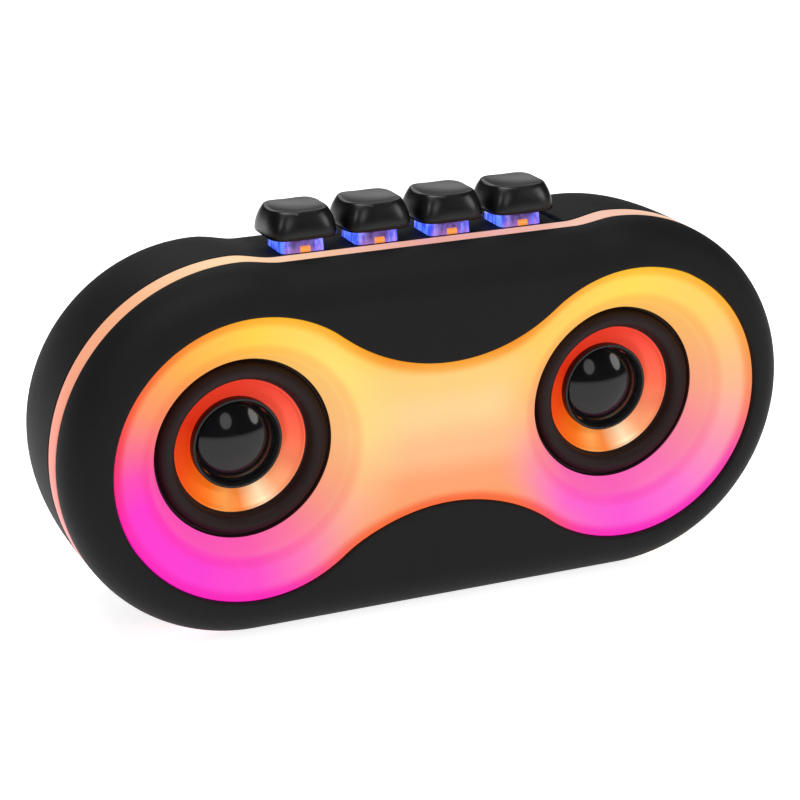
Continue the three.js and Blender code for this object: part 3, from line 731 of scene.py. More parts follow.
def build_front_shell():
    """The face curls into the window with a small rounded lip."""
    start, _, out_z = COLUMNS.T
    crest_sink = DECK_SINK - CREST
    sink = np.where(out_z > 0, deck_sink(start, crest_sink), 0)
    window = np.where(
        np.abs(start) < LOBE_X - 1e-6,
        dumbbell_half_height(start, NECK_HALF_HEIGHT, WINDOW_RADIUS), WINDOW_RADIUS,
    ) + sink
    lip = window + LIP
    share = np.clip((lip - FACE_RADIUS) / (LOBE_RADIUS - FACE_RADIUS), 0, 1)
    stop = np.arccos(share ** (FRONT_ROUNDNESS / 2)) / (math.pi / 2)
    rows = [
        casing_row(LOBE_RADIUS - WALL, FRONT_RIM_Y, crest_sink),
        casing_row(LOBE_RADIUS - RIM_CHAMFER, FRONT_RIM_Y, crest_sink),
    ]
    steps = 26
    for i in range(1, steps + 1):
        radius, y = rounded_edge(
            LOBE_RADIUS, FACE_RADIUS, FRONT_RIM_Y - RIM_CHAMFER * (1 - i / steps), FRONT_Y,
            FRONT_ROUNDNESS, stop * (i - 1) / (steps - 1),
        )
        rows.append(casing_row(radius, y, crest_sink))
    for i in range(1, 6):
        rows.append(casing_row(radius + (lip - radius) * i / 5, y, crest_sink))
    for turn in np.radians(np.linspace(15, 90, 6)):
        rows.append(casing_row(lip - LIP * math.sin(turn), y + LIP * (1 - math.cos(turn)), crest_sink))
    rows.append(casing_row(window, FRONT_Y + WALL, crest_sink))
    inner_face = np.maximum(FACE_RADIUS, window + 0.3)
    for i in range(10):
        radius, y = rounded_edge(
            LOBE_RADIUS - WALL, inner_face, FRONT_RIM_Y, FRONT_Y + WALL, FRONT_ROUNDNESS, 1 - i / 10,
        )
        rows.append(casing_row(radius, y, crest_sink))
    return skin("front_shell_fine", rows, SOFT_BLACK, loop=True)


def smooth_least(first, second, blend):
    """The lower of two heights, rounded where they cross."""
    share = np.clip(0.5 + 0.5 * (second - first) / blend, 0, 1)
    return second + (first - second) * share - blend * share * (1 - share)


def sink_deck(row, level):
    """Presses the top of a ring of points down to the key deck between the lobes."""
    beyond = np.maximum(np.abs(row[:, X]) - DECK_HALF_LENGTH, 0)
    limit = level + 2.2 * beyond
    top = COLUMNS[:, 2] > 0
    row[:, Z] = np.where(top, smooth_least(row[:, Z], limit, 0.5), row[:, Z])
    return row


def rounded_square(width, depth, radius, corner_steps=8, side_steps=6):
    """Points round a rounded rectangle about the origin."""
    corners = [
        arc(
            (sx * (width / 2 - radius), sy * (depth / 2 - radius)), radius,
            90 * quarter, 90 * quarter + 90, corner_steps,
        )
        for quarter, (sx, sy) in enumerate(((1, 1), (-1, 1), (-1, -1), (1, -1)))
    ]
    points = []
    for corner, following in zip(corners, corners[1:] + corners[:1]):
        here, ahead = np.array(corner[-1]), np.array(following[0])
        sides = [tuple(here + (ahead - here) * (i / side_steps)) for i in range(1, side_steps)]
        points += corner + sides
    return np.array(points)


def circle(diameter, corner_steps):
    """A round outline: a rounded square that is nearly all corners."""
    return rounded_square(diameter, diameter, diameter / 2 - 0.001, corner_steps, 1)


def flat_loft(name, levels, material, x=0, y=0, sharp=SHARP):
    """A loft of level outlines along Z: each level is (outline, z)."""
    rows = [np.column_stack([outline + (x, y), np.full(len(outline), z)]) for outline, z in levels]
    return skin(name, rows, material, sharp=sharp)


def upright_loft(name, levels, material, x=0, z=0):
    """A loft of level outlines along Y, for pieces in the back: each level is (outline, y)."""
    rows = [
        np.column_stack([outline[:, 0] + x, np.full(len(outline), y), outline[:, 1] + z])
        for outline, y in levels
    ]
    return skin(name, rows, material)


def square_block(name, width, depth, radius, low, high, material, x=0, y=0):
    outline = rounded_square(width, depth, radius)
    return flat_loft(name, [(outline, low), (outline, high)], material, x, y)


def upright_block(name, width, height, radius, low, high, material, x=0, z=0):
    outline = rounded_square(width, height, radius)
    return upright_loft(name, [(outline, low), (outline, high)], material, x, z)


PANEL_X = middle("port_panel", X)
PANEL_Z = middle("port_panel", Z)
PANEL_WIDTH = length("port_panel", X)
PANEL_HEIGHT = length("port_panel", Z)
PANEL_FRONT, PANEL_BACK = span("port_panel", Y)
HOUSING_LOW, HOUSING_HIGH = span("switch_housing_1", Z)
HOUSING_WIDTH = length("switch_housing_1", X)
BASE_WIDTH = length("switch_base_1", X)
HOLE_CLEARANCE = 0.5
SCREW_WELL_WIDTH = 6.5


def build_rear_shell():
    """A closed cup with the key deck, four switch holes, four screw wells and a port window."""
    turns = np.linspace(0, 1, 27)
    inner = [
        rounded_edge(
            LOBE_RADIUS - WALL, BACK_RADIUS - WALL, REAR_RIM_Y, BACK_Y - WALL, BACK_ROUNDNESS, turn,
        )
        for turn in turns[::-2]
    ]
    inner_deck = DECK_Z - WALL
    rows = [sink_deck(casing_row(radius, y), inner_deck) for radius, y in inner]
    rows.append(sink_deck(casing_row(LOBE_RADIUS - RIM_CHAMFER, REAR_RIM_Y), DECK_Z - RIM_CHAMFER))
    for turn in turns:
        radius, y = rounded_edge(
            LOBE_RADIUS, BACK_RADIUS, REAR_RIM_Y + RIM_CHAMFER, BACK_Y, BACK_ROUNDNESS, turn,
        )
        rows.append(sink_deck(casing_row(radius, y), DECK_Z))
    shell = skin("rear_shell_fine", rows, SOFT_BLACK)
    cutters = []
    for number in KEYS:
        x = middle(f"keycap_{number}", X)
        # A hole for the housing, over a wider pocket for the base.
        for width, radius, high in (
            (HOUSING_WIDTH + HOLE_CLEARANCE, 1.5, DECK_Z + 8),
            (BASE_WIDTH + HOLE_CLEARANCE, 0.6, HOUSING_LOW),
        ):
            cutters.append(square_block(
                f"hole_{number}", width, width, radius, DECK_Z - 8, high, SOFT_BLACK, x, KEY_Y,
            ))
    well, rim = circle(SCREW_WELL_WIDTH, 12), circle(SCREW_WELL_WIDTH + 0.8, 12)
    levels = [(well, BACK_Y - 2.2), (well, BACK_Y - 0.4), (rim, BACK_Y), (rim, BACK_Y + 1)]
    for number in KEYS:
        x, z = middle(f"casing_screw_{number}", X), middle(f"casing_screw_{number}", Z)
        cutters.append(upright_loft(f"well_{number}", levels, SOFT_BLACK, x, z))
    inside = rounded_square(PANEL_WIDTH + 0.4, PANEL_HEIGHT + 0.4, 4, 10, 8)
    outside = rounded_square(PANEL_WIDTH + 1.4, PANEL_HEIGHT + 1.4, 4.5, 10, 8)
    cutters.append(upright_loft(
        "port_window",
        [(inside, BACK_Y - 6), (inside, BACK_Y - 0.5), (outside, BACK_Y), (outside, BACK_Y + 1)],
        SOFT_BLACK, PANEL_X, PANEL_Z,
    ))
    return cut_with(shell, *cutters)


def build_light_band():
    inner = LOBE_RADIUS - BAND_THICKNESS
    corner = 0.4
    section = [(inner, BAND_BACK_Y), (inner, BAND_FRONT_Y), (LOBE_RADIUS - corner, BAND_FRONT_Y)]
    section += arc((LOBE_RADIUS - corner, BAND_FRONT_Y + corner), corner, -72, 0, 4)
    section += arc((LOBE_RADIUS - corner, BAND_BACK_Y - corner), corner, 0, 72, 4)
    section.append((LOBE_RADIUS - corner, BAND_BACK_Y))
    return skin("light_band_fine", [casing_row(r, y) for r, y in section], BAND, loop=True)


# The diffuser's front, by distance from a driver's axis: a steep collar, then an easy rise.
DISH = ((22.15, 0), (22.5, -1.1), (23.4, -3.1), (24.3, -4.7), (25.2, -5.75), (26.2, -6.35),
        (27.6, -6.85), (29.6, -7.55), (31.8, -8.4), (34, -9.2), (36.5, -9.8), (40, -10.05),
        (49, -10.1), (80, -10.1))


def dish_height(radius):
    """A smooth curve through DISH."""
    r, h = np.array(DISH).T
    slope = np.gradient(h, r)
    i = np.clip(np.searchsorted(r, radius) - 1, 0, len(r) - 2)
    width = r[i + 1] - r[i]
    t = (radius - r[i]) / width
    return (
        h[i] * (1 + 2 * t) * (1 - t) ** 2 + slope[i] * width * t * (1 - t) ** 2
        + h[i + 1] * t * t * (3 - 2 * t) + slope[i + 1] * width * t * t * (t - 1)
    )


DIFFUSER_RADIUS = WINDOW_RADIUS - GAP
DIFFUSER_NECK = NECK_HALF_HEIGHT - GAP
DIFFUSER_LIP = 0.5
DIFFUSER_THICKNESS = 2.2


def diffuser_reach(angles):
    """How far the diffuser reaches from the right lobe's centre, and where that is its middle."""
    centre, radius = fillet(DIFFUSER_NECK, DIFFUSER_RADIUS)
    touch = math.atan2(centre, LOBE_X)
    corner = math.atan2(DIFFUSER_NECK, LOBE_X)
    off_axis = np.abs(math.pi - np.mod(angles, 2 * math.pi))
    reach = np.full(len(angles), DIFFUSER_RADIUS)
    to_centre = math.hypot(centre, LOBE_X)
    swing = off_axis - touch
    inside = np.maximum(radius ** 2 - (to_centre * np.sin(swing)) ** 2, 0)
    reach = np.where(off_axis < touch, to_centre * np.cos(swing) - np.sqrt(inside), reach)
    is_middle = off_axis <= corner + 1e-9
    reach = np.where(is_middle, LOBE_X / np.cos(np.minimum(off_axis, corner)), reach)
    return reach, is_middle


def inside_edge(x, z):
    """How far inside the diffuser's outline a place is."""
    centre, radius = fillet(DIFFUSER_NECK, DIFFUSER_RADIUS)
    touch = math.atan2(centre, LOBE_X)
    beside = LOBE_X - np.abs(x)
    lobe = DIFFUSER_RADIUS - np.hypot(beside, z)
    neck = np.hypot(x, np.abs(z) - centre) - radius
    on_neck = (beside > 0) & (np.arctan2(np.abs(z), np.maximum(beside, 1e-9)) < touch)
    return np.where(on_neck, neck, lobe)


def build_diffuser():
    """Two dished lobes that meet in the middle of the neck."""
    corner = math.degrees(math.atan2(DIFFUSER_NECK, LOBE_X))
    near = np.array([0, 0.06, 0.13, 0.22, 0.34, 0.5, 0.72, 1.0, 1.4, 1.9, 2.6])
    degrees = [np.linspace(0, 360, 241)[:-1]]
    for side in (-1, 1):
        degrees += [180 + side * (corner + near), 180 + side * (corner - near)]
    degrees = np.unique(np.round(np.concatenate(degrees), 5))
    # Even steps that fall next to a corner's own steps would leave slivers there.
    from_corner = np.abs(np.abs(degrees - 180) - corner)
    is_corner_step = np.abs(from_corner[:, None] - near).min(axis=1) < 1e-4
    angles = np.radians(degrees[is_corner_step | (from_corner > 3.2)])
    reach, is_middle = diffuser_reach(angles)
    # Radii: close steps over the collar, then even ones, then close ones over the outer lip.
    close = np.array([
        0.0, 0.12, 0.25, 0.4, 0.6, 0.85, 1.15, 1.5, 1.9, 2.3, 2.8, 3.3, 3.9, 4.6, 5.4, 6.4, 7.6,
    ])
    far = np.array([0.0, 0.02, 0.06, 0.13, 0.22, 0.34, 0.5, 0.75, 1.1, 1.6])
    inner = RING_RADIUS + close[-1]
    radii = [np.full(len(angles), RING_RADIUS + step) for step in close]
    radii += [inner + (reach - far[-1] - inner) * t for t in np.linspace(0, 1, 10)[1:-1]]
    radii += [reach - step for step in far[::-1]]
    pieces = []
    for side in (1, -1):
        rows, back = [], []
        for r in radii:
            x, z = side * (LOBE_X + r * np.cos(angles)), r * np.sin(angles)
            depth = np.clip(1 - inside_edge(x, z) / DIFFUSER_LIP, 0, 1)
            drop = DIFFUSER_LIP * (1 - np.sqrt(1 - depth ** 2))
            rows.append(np.stack([x, RING_Y + dish_height(r) + drop, AXIS_Z + z], 1))
        for r in radii[::-4]:
            x, z = side * (LOBE_X + r * np.cos(angles)), r * np.sin(angles)
            y = RING_Y + np.minimum(dish_height(r) + DIFFUSER_THICKNESS, 0)
            back.append(np.stack([x, y, AXIS_Z + z], 1))
        grid = np.array(rows + back)
        faces = []
        count, columns = grid.shape[:2]
        for row in range(count):
            ahead = (row + 1) % count
            for column in range(columns):
                beside = (column + 1) % columns
                if row == len(rows) - 1 and is_middle[column] and is_middle[beside]:
                    continue
                faces.append((
                    row * columns + column, row * columns + beside,
                    ahead * columns + beside, ahead * columns + column,
                ))
        pieces.append((grid.reshape(-1, 3), faces))
    (right, right_faces), (left, left_faces) = pieces
    faces = right_faces + [tuple(i + len(right) for i in face) for face in left_faces]
    return finish_mesh("front_diffuser_fine", np.concatenate([right, left]), faces, DIFFUSER, 40)


place(build_front_shell(), "casing", "soft_touch_black", "front_shell")
place(build_rear_shell(), "casing", "soft_touch_black", "rear_shell")
place(build_light_band(), "casing", "band", "light_band")
place(build_diffuser(), "casing", "diffuser", "front_diffuser")


# ---------------------------------------------------------------- drivers

SURROUND_PROFILE = (
    [(22.6, 1.35), (22.6, 0.9), (22.05, 0.8), (21.95, 1.15), (21.5, 1.15), (21.38, 0.75)]
    + arc((19.1, 0.9), 2.15, 12, 168, 22, -0.95)
    + [(16.75, 1.75), (16.45, 1.95), (16.45, 2.35), (16.9, 2.35)]
    + arc((19.1, 1.35), 1.8, 168, 12, 14, -0.95)
    + [(21.3, 1.35)]
)
CONE_PROFILE = [
    (9.9, 7.3), (10.8, 6.75), (12.2, 5.75), (13.8, 4.55), (15.3, 3.3), (16.0, 2.6), (16.12, 2.25),
    (16.3, 2.12), (16.5, 2.2), (16.55, 2.5), (16.3, 3.1), (15.0, 4.3), (13.5, 5.5), (12, 6.6),
    (10.6, 7.6), (9.9, 8.0),
]
DOME_RADIUS = 9.75
DOME_RISE = 3.4
DOME_CURVE = (DOME_RADIUS ** 2 + DOME_RISE ** 2) / (2 * DOME_RISE)


def dome(depth, reach, steps):
    """A spherical cap from its apex out to the radius reach."""
    angles = np.linspace(0, math.asin(reach / DOME_CURVE), steps)
    return [(DOME_CURVE * math.sin(a), depth + DOME_CURVE * (1 - math.cos(a))) for a in angles]


DUST_CAP_PROFILE = (
    dome(1.45, DOME_RADIUS, 32) + [(9.8, 5.0), (9.7, 6.0)] + dome(2.7, 9.0, 14)[::-1]
)
CAP_RING_PROFILE = (
    [(9.9, 6.2), (9.95, 5.0), (10.4, 4.3)] + arc((10.72, 4.0), 0.2, 180, 270, 5)
    + arc((11.0, 4.0), 0.2, 270, 360, 5) + [(11.2, 5.9), (11.0, 6.2), (10.2, 6.7)]
)
SPIDER_WAVES = 3


def spider_profile():
    """Corrugated cloth from the coil out to the basket."""
    radii = np.linspace(9.75, 14.6, 36)
    share = (radii - radii[0]) / (radii[-1] - radii[0])
    front = list(zip(radii, 9.5 - 0.45 * np.cos(share * 2 * math.pi * SPIDER_WAVES)))
    return front + [(r, d + 0.35) for r, d in front[::-1]]


def bend_with_diaphragm(piece, x, inner, outer):
    """Bakes the ring's placing into its mesh and works out blend weights from the casing at radius
    outer to the diaphragm at radius inner; the weights are not used.
    """
    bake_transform(piece)
    points = np.array([v.co for v in piece.data.vertices]) / MM
    radius = np.hypot(points[:, X] - x, points[:, Z] - AXIS_Z)
    weight = np.clip((outer - radius) / (outer - inner), 0, 1)
    weight = weight * weight * (3 - 2 * weight)


for side in SIDES:
    x = middle(f"{side}_cone", X)
    diaphragm = f"{side}_diaphragm"
    edge = turned(f"{side}_surround_fine", SURROUND_PROFILE, x, SURROUND, 160)
    bend_with_diaphragm(edge, x, 16.9, 21.3)
    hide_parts(f"{side}_surround")
    spider = turned(f"{side}_spider_fine", spider_profile(), x, SPIDER_CLOTH, 96)
    bend_with_diaphragm(spider, x, 9.9, 14.4)
    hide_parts(f"{side}_spider")
    cone = turned(f"{side}_cone_fine", CONE_PROFILE, x, spun_copper(x), 160, 30)
    place(cone, diaphragm, "copper_cone", f"{side}_cone")
    cap = turned(f"{side}_dust_cap_fine", DUST_CAP_PROFILE, x, GLOSS, 160, 30)
    place(cap, diaphragm, "dome_gloss", f"{side}_dust_cap")
    ring = turned(f"{side}_dust_cap_ring", CAP_RING_PROFILE, x, RING_BLACK, 160, 40)
    place(ring, diaphragm, "satin_black")
    inner, outer = 8.75, 9.35
    front, back = (d - RING_Y for d in span(f"{side}_voice_coil", Y))
    coil = turned(
        f"{side}_voice_coil_fine",
        [(inner, front), (outer, front), (outer, back), (inner, back)], x, COIL, 96,
    )
    place(coil, diaphragm, "coil", f"{side}_voice_coil")


# ---------------------------------------------------------------- keys

CAP_WIDTH = length("keycap_1", X)
CAP_DEPTH = length("keycap_1", Y)
CAP_LOW, CAP_HIGH = span("keycap_1", Z)
CAP_TOP_WIDTH = 13.7
CAP_TOP_DEPTH = 13.4
CAP_DISH = 0.75
DISH_REACH = 7.6
CAP_ROUNDING = 0.45
CAP_POINTS = 96
LEAF_OFFSET = 0.5
LEAF_THICKNESS = 0.25
SPRING_RADIUS = 1.32
SPRING_TURNS = 9
SPRING_WIRE = 0.15


def cap_dish(points):
    """How far the cap's hollow top lies below its corners."""
    rho = np.hypot(points[:, 0], points[:, 1])
    return CAP_DISH * np.clip(1 - (rho / DISH_REACH) ** 2, 0, 1)


def cap_outline(height, inset=0.0):
    """The cap's outline at a height above its lower edge: the walls lean in, slowly at first."""
    total = CAP_HIGH - CAP_LOW
    lean = (height / total) ** 2.3
    half_width = (CAP_WIDTH + (CAP_TOP_WIDTH - CAP_WIDTH) * lean) / 2 - inset
    half_depth = (CAP_DEPTH + (CAP_TOP_DEPTH - CAP_DEPTH) * lean) / 2 - inset
    squareness = 4.2 + (3.3 - 4.2) * height / total
    angles = np.linspace(0, 2 * math.pi, CAP_POINTS, endpoint=False)
    across, along = np.cos(angles), np.sin(angles)
    return np.column_stack([
        half_width * np.sign(across) * np.abs(across) ** (2 / squareness),
        half_depth * np.sign(along) * np.abs(along) ** (2 / squareness),
    ])


def build_keycap(number):
    """A hollow cap: its rows run from the ceiling inside, round the lower edge and over the top."""
    x = middle(f"keycap_{number}", X)
    total = CAP_HIGH - CAP_LOW
    ceiling = total - CAP_DISH - 0.9
    levels = [(cap_outline(ceiling, 1.6) * share, ceiling) for share in (0.25, 0.6, 0.97)]
    levels += [
        (cap_outline(ceiling, 1.6), ceiling - 0.35), (cap_outline(ceiling / 2, 1.3), ceiling / 2),
        (cap_outline(0, 1.25), 0.3), (cap_outline(0, 1.0), 0.04), (cap_outline(0, 0.5), 0.0),
        (cap_outline(0, 0.25), 0.06), (cap_outline(0, 0.08), 0.24), (cap_outline(0.3, 0.0), 0.55),
    ]
    shoulder = total - CAP_ROUNDING
    levels += [(cap_outline(height), height) for height in np.linspace(1.2, shoulder, 9)]
    for turn in np.radians((15, 35, 55, 75, 90)):
        height = shoulder + CAP_ROUNDING * math.sin(turn)
        levels.append((cap_outline(height, CAP_ROUNDING * (1 - math.cos(turn))), height))
    crown = levels[-1][0]
    levels += [(crown * share, total) for share in (0.95, 0.88, 0.78, 0.66, 0.52, 0.36, 0.18)]
    rows = []
    for outline, height in levels:
        z = height - cap_dish(outline) * (height > shoulder)
        rows.append(np.column_stack([outline[:, 0] + x, outline[:, 1] + KEY_Y, CAP_LOW + z]))
    return skin(f"keycap_{number}_fine", rows, CAP_BLACK, sharp=48)


def build_housing(number):
    """A clear upper housing with a shallow window in its front, where the contact shows."""
    x = middle(f"switch_housing_{number}", X)
    top = HOUSING_HIGH - 0.05
    wide, corner = HOUSING_WIDTH, (5, 4)
    levels = [
        (rounded_square(width, width, radius, *corner), z)
        for width, radius, z in (
            (wide, 1.4, HOUSING_LOW), (wide, 1.4, DECK_Z + 0.2), (wide - 0.2, 1.7, DECK_Z + 2.5),
            (wide - 0.6, 2.0, DECK_Z + 3.3), (wide - 1.4, 2.2, top - 0.4), (wide - 1.9, 2.1, top),
        )
    ]
    housing = flat_loft(f"switch_housing_{number}_fine", levels, HOUSING_BLUE, x, KEY_Y, 30)
    inner = [
        (rounded_square(wide - 1.6, wide - 1.6, 1.0, 4, 4), HOUSING_LOW - 1),
        (rounded_square(wide - 1.8, wide - 1.8, 1.2, 4, 4), DECK_Z + 2.4),
        (rounded_square(wide - 3.2, wide - 3.2, 1.4, 4, 4), top - 0.8),
    ]
    cutters = [
        flat_loft("inside", inner, HOUSING_BLUE, x, KEY_Y),
        square_block("slot", 7.0, 5.0, 0.5, top - 3, top + 1, HOUSING_BLUE, x, KEY_Y),
        square_block(
            "front_window", 5.2, 1.6, 0.4, DECK_Z - 0.2, DECK_Z + 2.4, HOUSING_BLUE,
            x + LEAF_OFFSET, KEY_Y - 5.6,
        ),
    ]
    return cut_with(housing, *cutters)


def build_leaf(number):
    """The bent copper contact that stands behind the window."""
    x = middle(f"switch_housing_{number}", X) + LEAF_OFFSET
    front = KEY_Y - 4.3
    section = [(0, -1.5), (-0.95, -0.6), (-1.0, 0.2), (-0.85, 0.9), (-0.4, 1.3)]
    outline = section + [(depth + LEAF_THICKNESS, rise) for depth, rise in section[::-1]]
    rows = []
    for across in (-1.25, -1.15, 1.15, 1.25):
        shrink = 0.9 if abs(across) > 1.2 else 1.0
        rows.append([
            (x + across, front + depth * shrink, DECK_Z + rise) for depth, rise in outline
        ])
    return skin(f"contact_leaf_{number}", rows, CONTACT_COPPER)


def build_stem(number):
    """A slider with a cross-shaped post on top, bored from below for the spring."""
    x = middle(f"switch_stem_{number}", X)
    low, post_top = span(f"switch_stem_{number}", Z)
    slider_top = DECK_Z + 6
    stem = square_block(
        f"switch_stem_{number}_fine", 6.4, 4.4, 0.5, low, slider_top, STEM_WHITE, x, KEY_Y,
    )
    join_with(stem, *(
        square_block("post", width, depth, 0.25, slider_top - 1, post_top, STEM_WHITE, x, KEY_Y)
        for width, depth in ((4, 1.3), (1.3, 4))
    ))
    spring_top = span(f"switch_spring_{number}", Z)[1]
    bore = circle(3.6, 8)
    levels = [(bore, low - 1), (bore, spring_top + 0.3)]
    return cut_with(stem, flat_loft("bore", levels, STEM_WHITE, x, KEY_Y))


def build_spring(number):
    """A coil of round wire from the floor of the switch up into the bore of the stem."""
    x = middle(f"switch_spring_{number}", X)
    low, high = span(f"switch_spring_{number}", Z)
    steps, sides = 252, 8
    # Each end lies flat for under a full turn, so that it never meets its own start.
    flat_share = 0.07
    rows = []
    for i in range(steps + 1):
        t = i / steps
        eased = np.clip((t - flat_share) / (1 - 2 * flat_share), 0, 1)
        angle = 2 * math.pi * SPRING_TURNS * t
        out = np.array([math.cos(angle), math.sin(angle), 0])
        centre = np.array([
            x + SPRING_RADIUS * math.cos(angle), KEY_Y + SPRING_RADIUS * math.sin(angle),
            low + SPRING_WIRE + (high - low - 2 * SPRING_WIRE) * eased,
        ])
        rows.append([
            centre + SPRING_WIRE * (math.cos(s) * out + math.sin(s) * np.array([0, 0, 1]))
            for s in np.linspace(0, 2 * math.pi, sides, endpoint=False)
        ])
    return skin(f"switch_spring_{number}_fine", rows, BRIGHT_STEEL)


for number in KEYS:
    body = f"key_{number}"
    place(build_keycap(number), body, "satin_black", f"keycap_{number}")
    place(build_stem(number), body, "stem", f"switch_stem_{number}")
    place(build_housing(number), "casing", "switch_blue", f"switch_housing_{number}")
    place(build_leaf(number), "casing", "coil")
    spring = place(build_spring(number), "casing", "steel", f"switch_spring_{number}")
    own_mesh(spring)


# ---------------------------------------------------------------- back and underside

def build_screw(number):
    """A pan-head screw with a cross recess."""
    x, z = middle(f"casing_screw_{number}", X), middle(f"casing_screw_{number}", Z)
    low, high = span(f"casing_screw_{number}", Y)
    head = high - 1.7
    profile = (
        (1.25, low), (1.25, head), (2.75, head), (2.8, head + 0.5), (2.7, head + 1.1),
        (2.3, head + 1.5), (1.2, high),
    )
    levels = [(np.array(arc((0, 0), radius, 0, 352.5, 47)), y) for radius, y in profile]
    screw = upright_loft(f"casing_screw_{number}_fine", levels, DARK_STEEL, x, z)
    return cut_with(screw, *(
        upright_block("slot", width, depth, 0.2, high - 1.1, high + 1, DARK_STEEL, x, z)
        for width, depth in ((3, 0.75), (0.75, 3))
    ))


for number in KEYS:
    place(build_screw(number), "casing", "steel", f"casing_screw_{number}")

USB_X, CARD_X, AUX_X = (middle(f"{kind}_socket", X) for kind in ("usb", "card", "aux"))


def build_panel():
    """The recessed panel, with a bevelled rim and three openings."""
    outline = rounded_square(PANEL_WIDTH - 0.1, PANEL_HEIGHT - 0.1, 3.7, 10, 8)
    rim = rounded_square(PANEL_WIDTH - 0.7, PANEL_HEIGHT - 0.7, 3.4, 10, 8)
    panel = upright_loft(
        "port_panel_fine", [(outline, PANEL_FRONT), (outline, PANEL_BACK - 0.3), (rim, PANEL_BACK)],
        INNER_BLACK, PANEL_X, PANEL_Z,
    )
    openings = ((USB_X, 9.6, 3.8, 1.8), (CARD_X, 12.4, 2.4, 0.4), (AUX_X, 4.8, 4.8, 2.399))
    cutters = []
    for x, width, height, radius in openings:
        hole = rounded_square(width, height, radius, 10, 2)
        bevel = rounded_square(width + 0.6, height + 0.6, radius + 0.3, 10, 2)
        levels = [
            (hole, PANEL_FRONT - 1), (hole, PANEL_BACK - 0.3), (bevel, PANEL_BACK),
            (bevel, PANEL_BACK + 1),
        ]
        cutters.append(upright_loft("opening", levels, INNER_BLACK, x, PANEL_Z))
    return cut_with(panel, *cutters)


def build_usb():
    """A rounded steel mouth, and the tongue inside it."""
    low, high = span("usb_socket", Y)
    outer = rounded_square(8.9, 3.1, 1.5, 10, 3)
    inner = rounded_square(8.3, 2.5, 1.2, 10, 3)
    levels = [(outer, low), (outer, high)]
    body = upright_loft("usb_socket_fine", levels, BRIGHT_STEEL, USB_X, PANEL_Z)
    levels = [(inner, low + 0.8), (inner, high + 1)]
    cut_with(body, upright_loft("mouth", levels, BRIGHT_STEEL, USB_X, PANEL_Z))
    tongue = upright_block(
        "usb_tongue", 6.6, 0.7, 0.3, low + 0.8, high - 0.9, INNER_BLACK, USB_X, PANEL_Z,
    )
    return body, tongue


def build_card():
    low, high = span("card_socket", Y)
    where = (DARK_STEEL, CARD_X, PANEL_Z)
    body = upright_block("card_socket_fine", 12.8, 2.6, 0.3, low, high, *where)
    return cut_with(body, upright_block("mouth", 11.4, 1.3, 0.2, low + 1, high + 1, *where))


def build_aux():
    low, high = span("aux_socket", Y)
    where = (INNER_BLACK, AUX_X, PANEL_Z)
    body = upright_block("aux_socket_fine", 7, 6, 0.4, low, PANEL_FRONT - 0.3, *where)
    join_with(body, upright_block("barrel", 4.2, 4.2, 2.099, PANEL_FRONT - 1, high, *where))
    return cut_with(body, upright_block("bore", 3.5, 3.5, 1.749, low + 1, high + 1, *where))


place(build_panel(), "casing", "satin_black", "port_panel")
usb, tongue = build_usb()
place(usb, "casing", "steel", "usb_socket")
place(tongue, "casing", "satin_black")
place(build_card(), "casing", "steel", "card_socket")
place(build_aux(), "casing", "satin_black", "aux_socket")


def build_foot(side):
    """A pad with a rounded lower edge, cut to the curve of the casing."""
    name = f"foot_{side}"
    x, y = middle(name, X), middle(name, Y)
    width = length(name, X)
    depth = length(name, Y)
    low, high = span(name, Z)
    levels = [
        (rounded_square(width - 1.2, depth - 1.2, 3.6, 8, 8), low),
        (rounded_square(width - 0.5, depth - 0.5, 3.9, 8, 8), low + 0.15),
        (rounded_square(width, depth, 4.1, 8, 8), low + 0.6),
        (rounded_square(width, depth, 4.1, 8, 8), high),
    ]
    foot = flat_loft(f"foot_{side}_fine", levels, FOOT_RUBBER, x, y)
    clear = 0.05
    rows = [casing_row(LOBE_RADIUS + clear, y) for y in (BAND_FRONT_Y, REAR_RIM_Y)]
    for turn in np.linspace(0.05, 1, 20):
        radius, back_y = rounded_edge(
            LOBE_RADIUS, BACK_RADIUS, REAR_RIM_Y, BACK_Y, BACK_ROUNDNESS, turn,
        )
        rows.append(casing_row(radius + clear, back_y + clear))
    return cut_with(foot, skin("casing_curve", rows, FOOT_RUBBER))


for side in SIDES:
    place(build_foot(side), "casing", "rubber", f"foot_{side}")


# ---------------------------------------------------------------- pieces kept from the frame

KEPT = {
    "driver_baffle": INNER_BLACK, "light_board": BOARD_WHITE, "key_board": BOARD_GREEN,
    "main_board": BOARD_GREEN, "battery_cell": CELL_WRAP, "battery_cradle": INNER_BLACK,
    "driver_lead_left": LEAD_RED, "driver_lead_right": LEAD_RED, "battery_lead": LEAD_RED,
    "left_basket": DARK_STEEL, "right_basket": DARK_STEEL, "left_magnet": FERRITE,
    "right_magnet": FERRITE,
}
KEPT.update({f"switch_base_{number}": INNER_BLACK for number in KEYS})
for node, material in KEPT.items():
    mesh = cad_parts[node].data
    mesh.materials.clear()
    mesh.materials.append(material)


# ---------------------------------------------------------------- floor, light and camera

FLOOR_HALF = 40.0


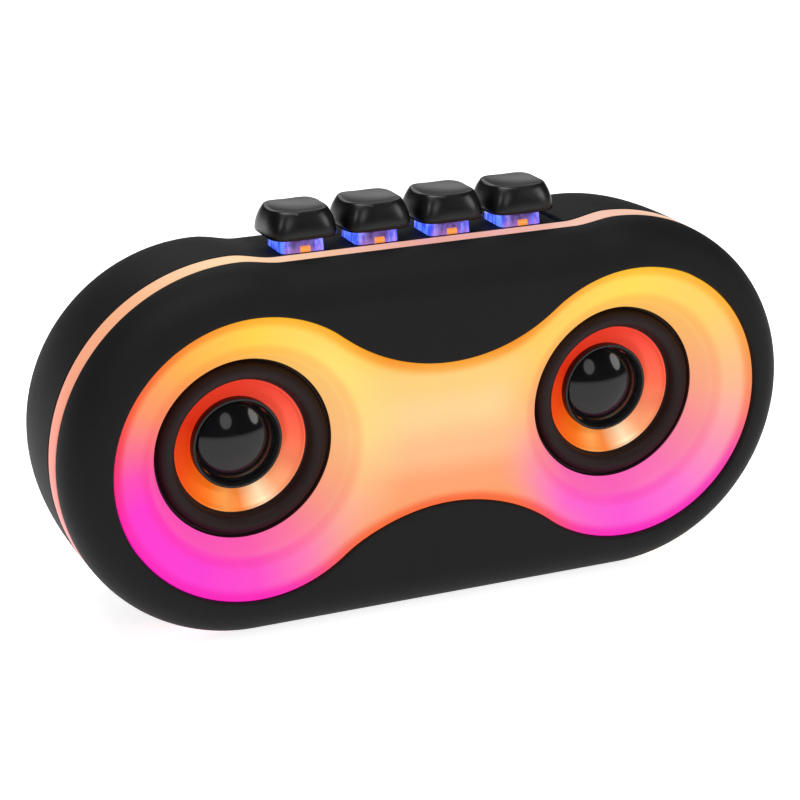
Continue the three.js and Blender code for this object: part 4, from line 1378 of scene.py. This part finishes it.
def build_floor():
    corners = [(x * FLOOR_HALF, y * FLOOR_HALF, 0) for x, y in ((-1, -1), (1, -1), (1, 1), (-1, 1))]
    mesh = bpy.data.meshes.new("floor")
    mesh.from_pydata(corners, [], [(0, 1, 2, 3)])
    floor = add_object("floor", mesh)
    paint = Paint("floor_white", (0.9, 0.9, 0.9), 0.9, specular=0.1)
    paint.set("Base Color", paint.mix(paint.noise(60, 2), (0.89, 0.89, 0.89), (0.91, 0.91, 0.91)))
    paint.shine((1, 1, 1, 1), 0.8)
    mesh.materials.append(paint.material)


def turn_to(made, direction):
    """Points a light or a camera along a direction."""
    made.rotation_euler = direction.to_track_quat("-Z", "Y").to_euler()


def add_light(name, place_at, width, height, power):
    """A softbox aimed at the middle of the speaker."""
    light = bpy.data.lights.new(name, "AREA")
    light.shape = "ELLIPSE"
    light.size, light.size_y = width, height
    light.energy = power
    lamp = add_object(name, light)
    lamp.location = place_at
    turn_to(lamp, Vector((0, 0, AXIS_Z * MM)) - Vector(place_at))


CAMERA_PLACE = Vector((-236.8, -524.8, 251.9)) * MM
CAMERA_BACK = Vector((-0.3837, -0.8601, 0.3361))
CAMERA_LENS = 111.7


def build_camera():
    camera = bpy.data.cameras.new("camera")
    camera.lens = CAMERA_LENS
    camera.sensor_width = 36
    rig = add_object("camera", camera)
    rig.location = CAMERA_PLACE
    turn_to(rig, -CAMERA_BACK)
    bpy.context.scene.camera = rig


def build_world():
    world = bpy.data.worlds.new("studio")
    world.use_nodes = True
    background = world.node_tree.nodes["Background"]
    background.inputs["Color"].default_value = (0.9, 0.95, 1, 1)
    background.inputs["Strength"].default_value = 0.06
    bpy.context.scene.world = world


build_floor()
build_camera()
build_world()
add_light("top_softbox", (-0.1, -0.1, 0.9), 0.9, 0.7, 8)
add_light("left_softbox", (-0.9, -0.7, 0.75), 0.35, 0.6, 2.0)
add_light("front_softbox", (-0.15, -1.06, 0.6), 0.42, 0.6, 1.7)
add_light("right_softbox", (0.78, -0.66, 0.45), 0.32, 0.5, 2.4)
add_light("back_softbox", (0.2, 0.9, 0.6), 0.9, 0.4, 1.5)
bpy.context.scene.view_settings.view_transform = "Standard"
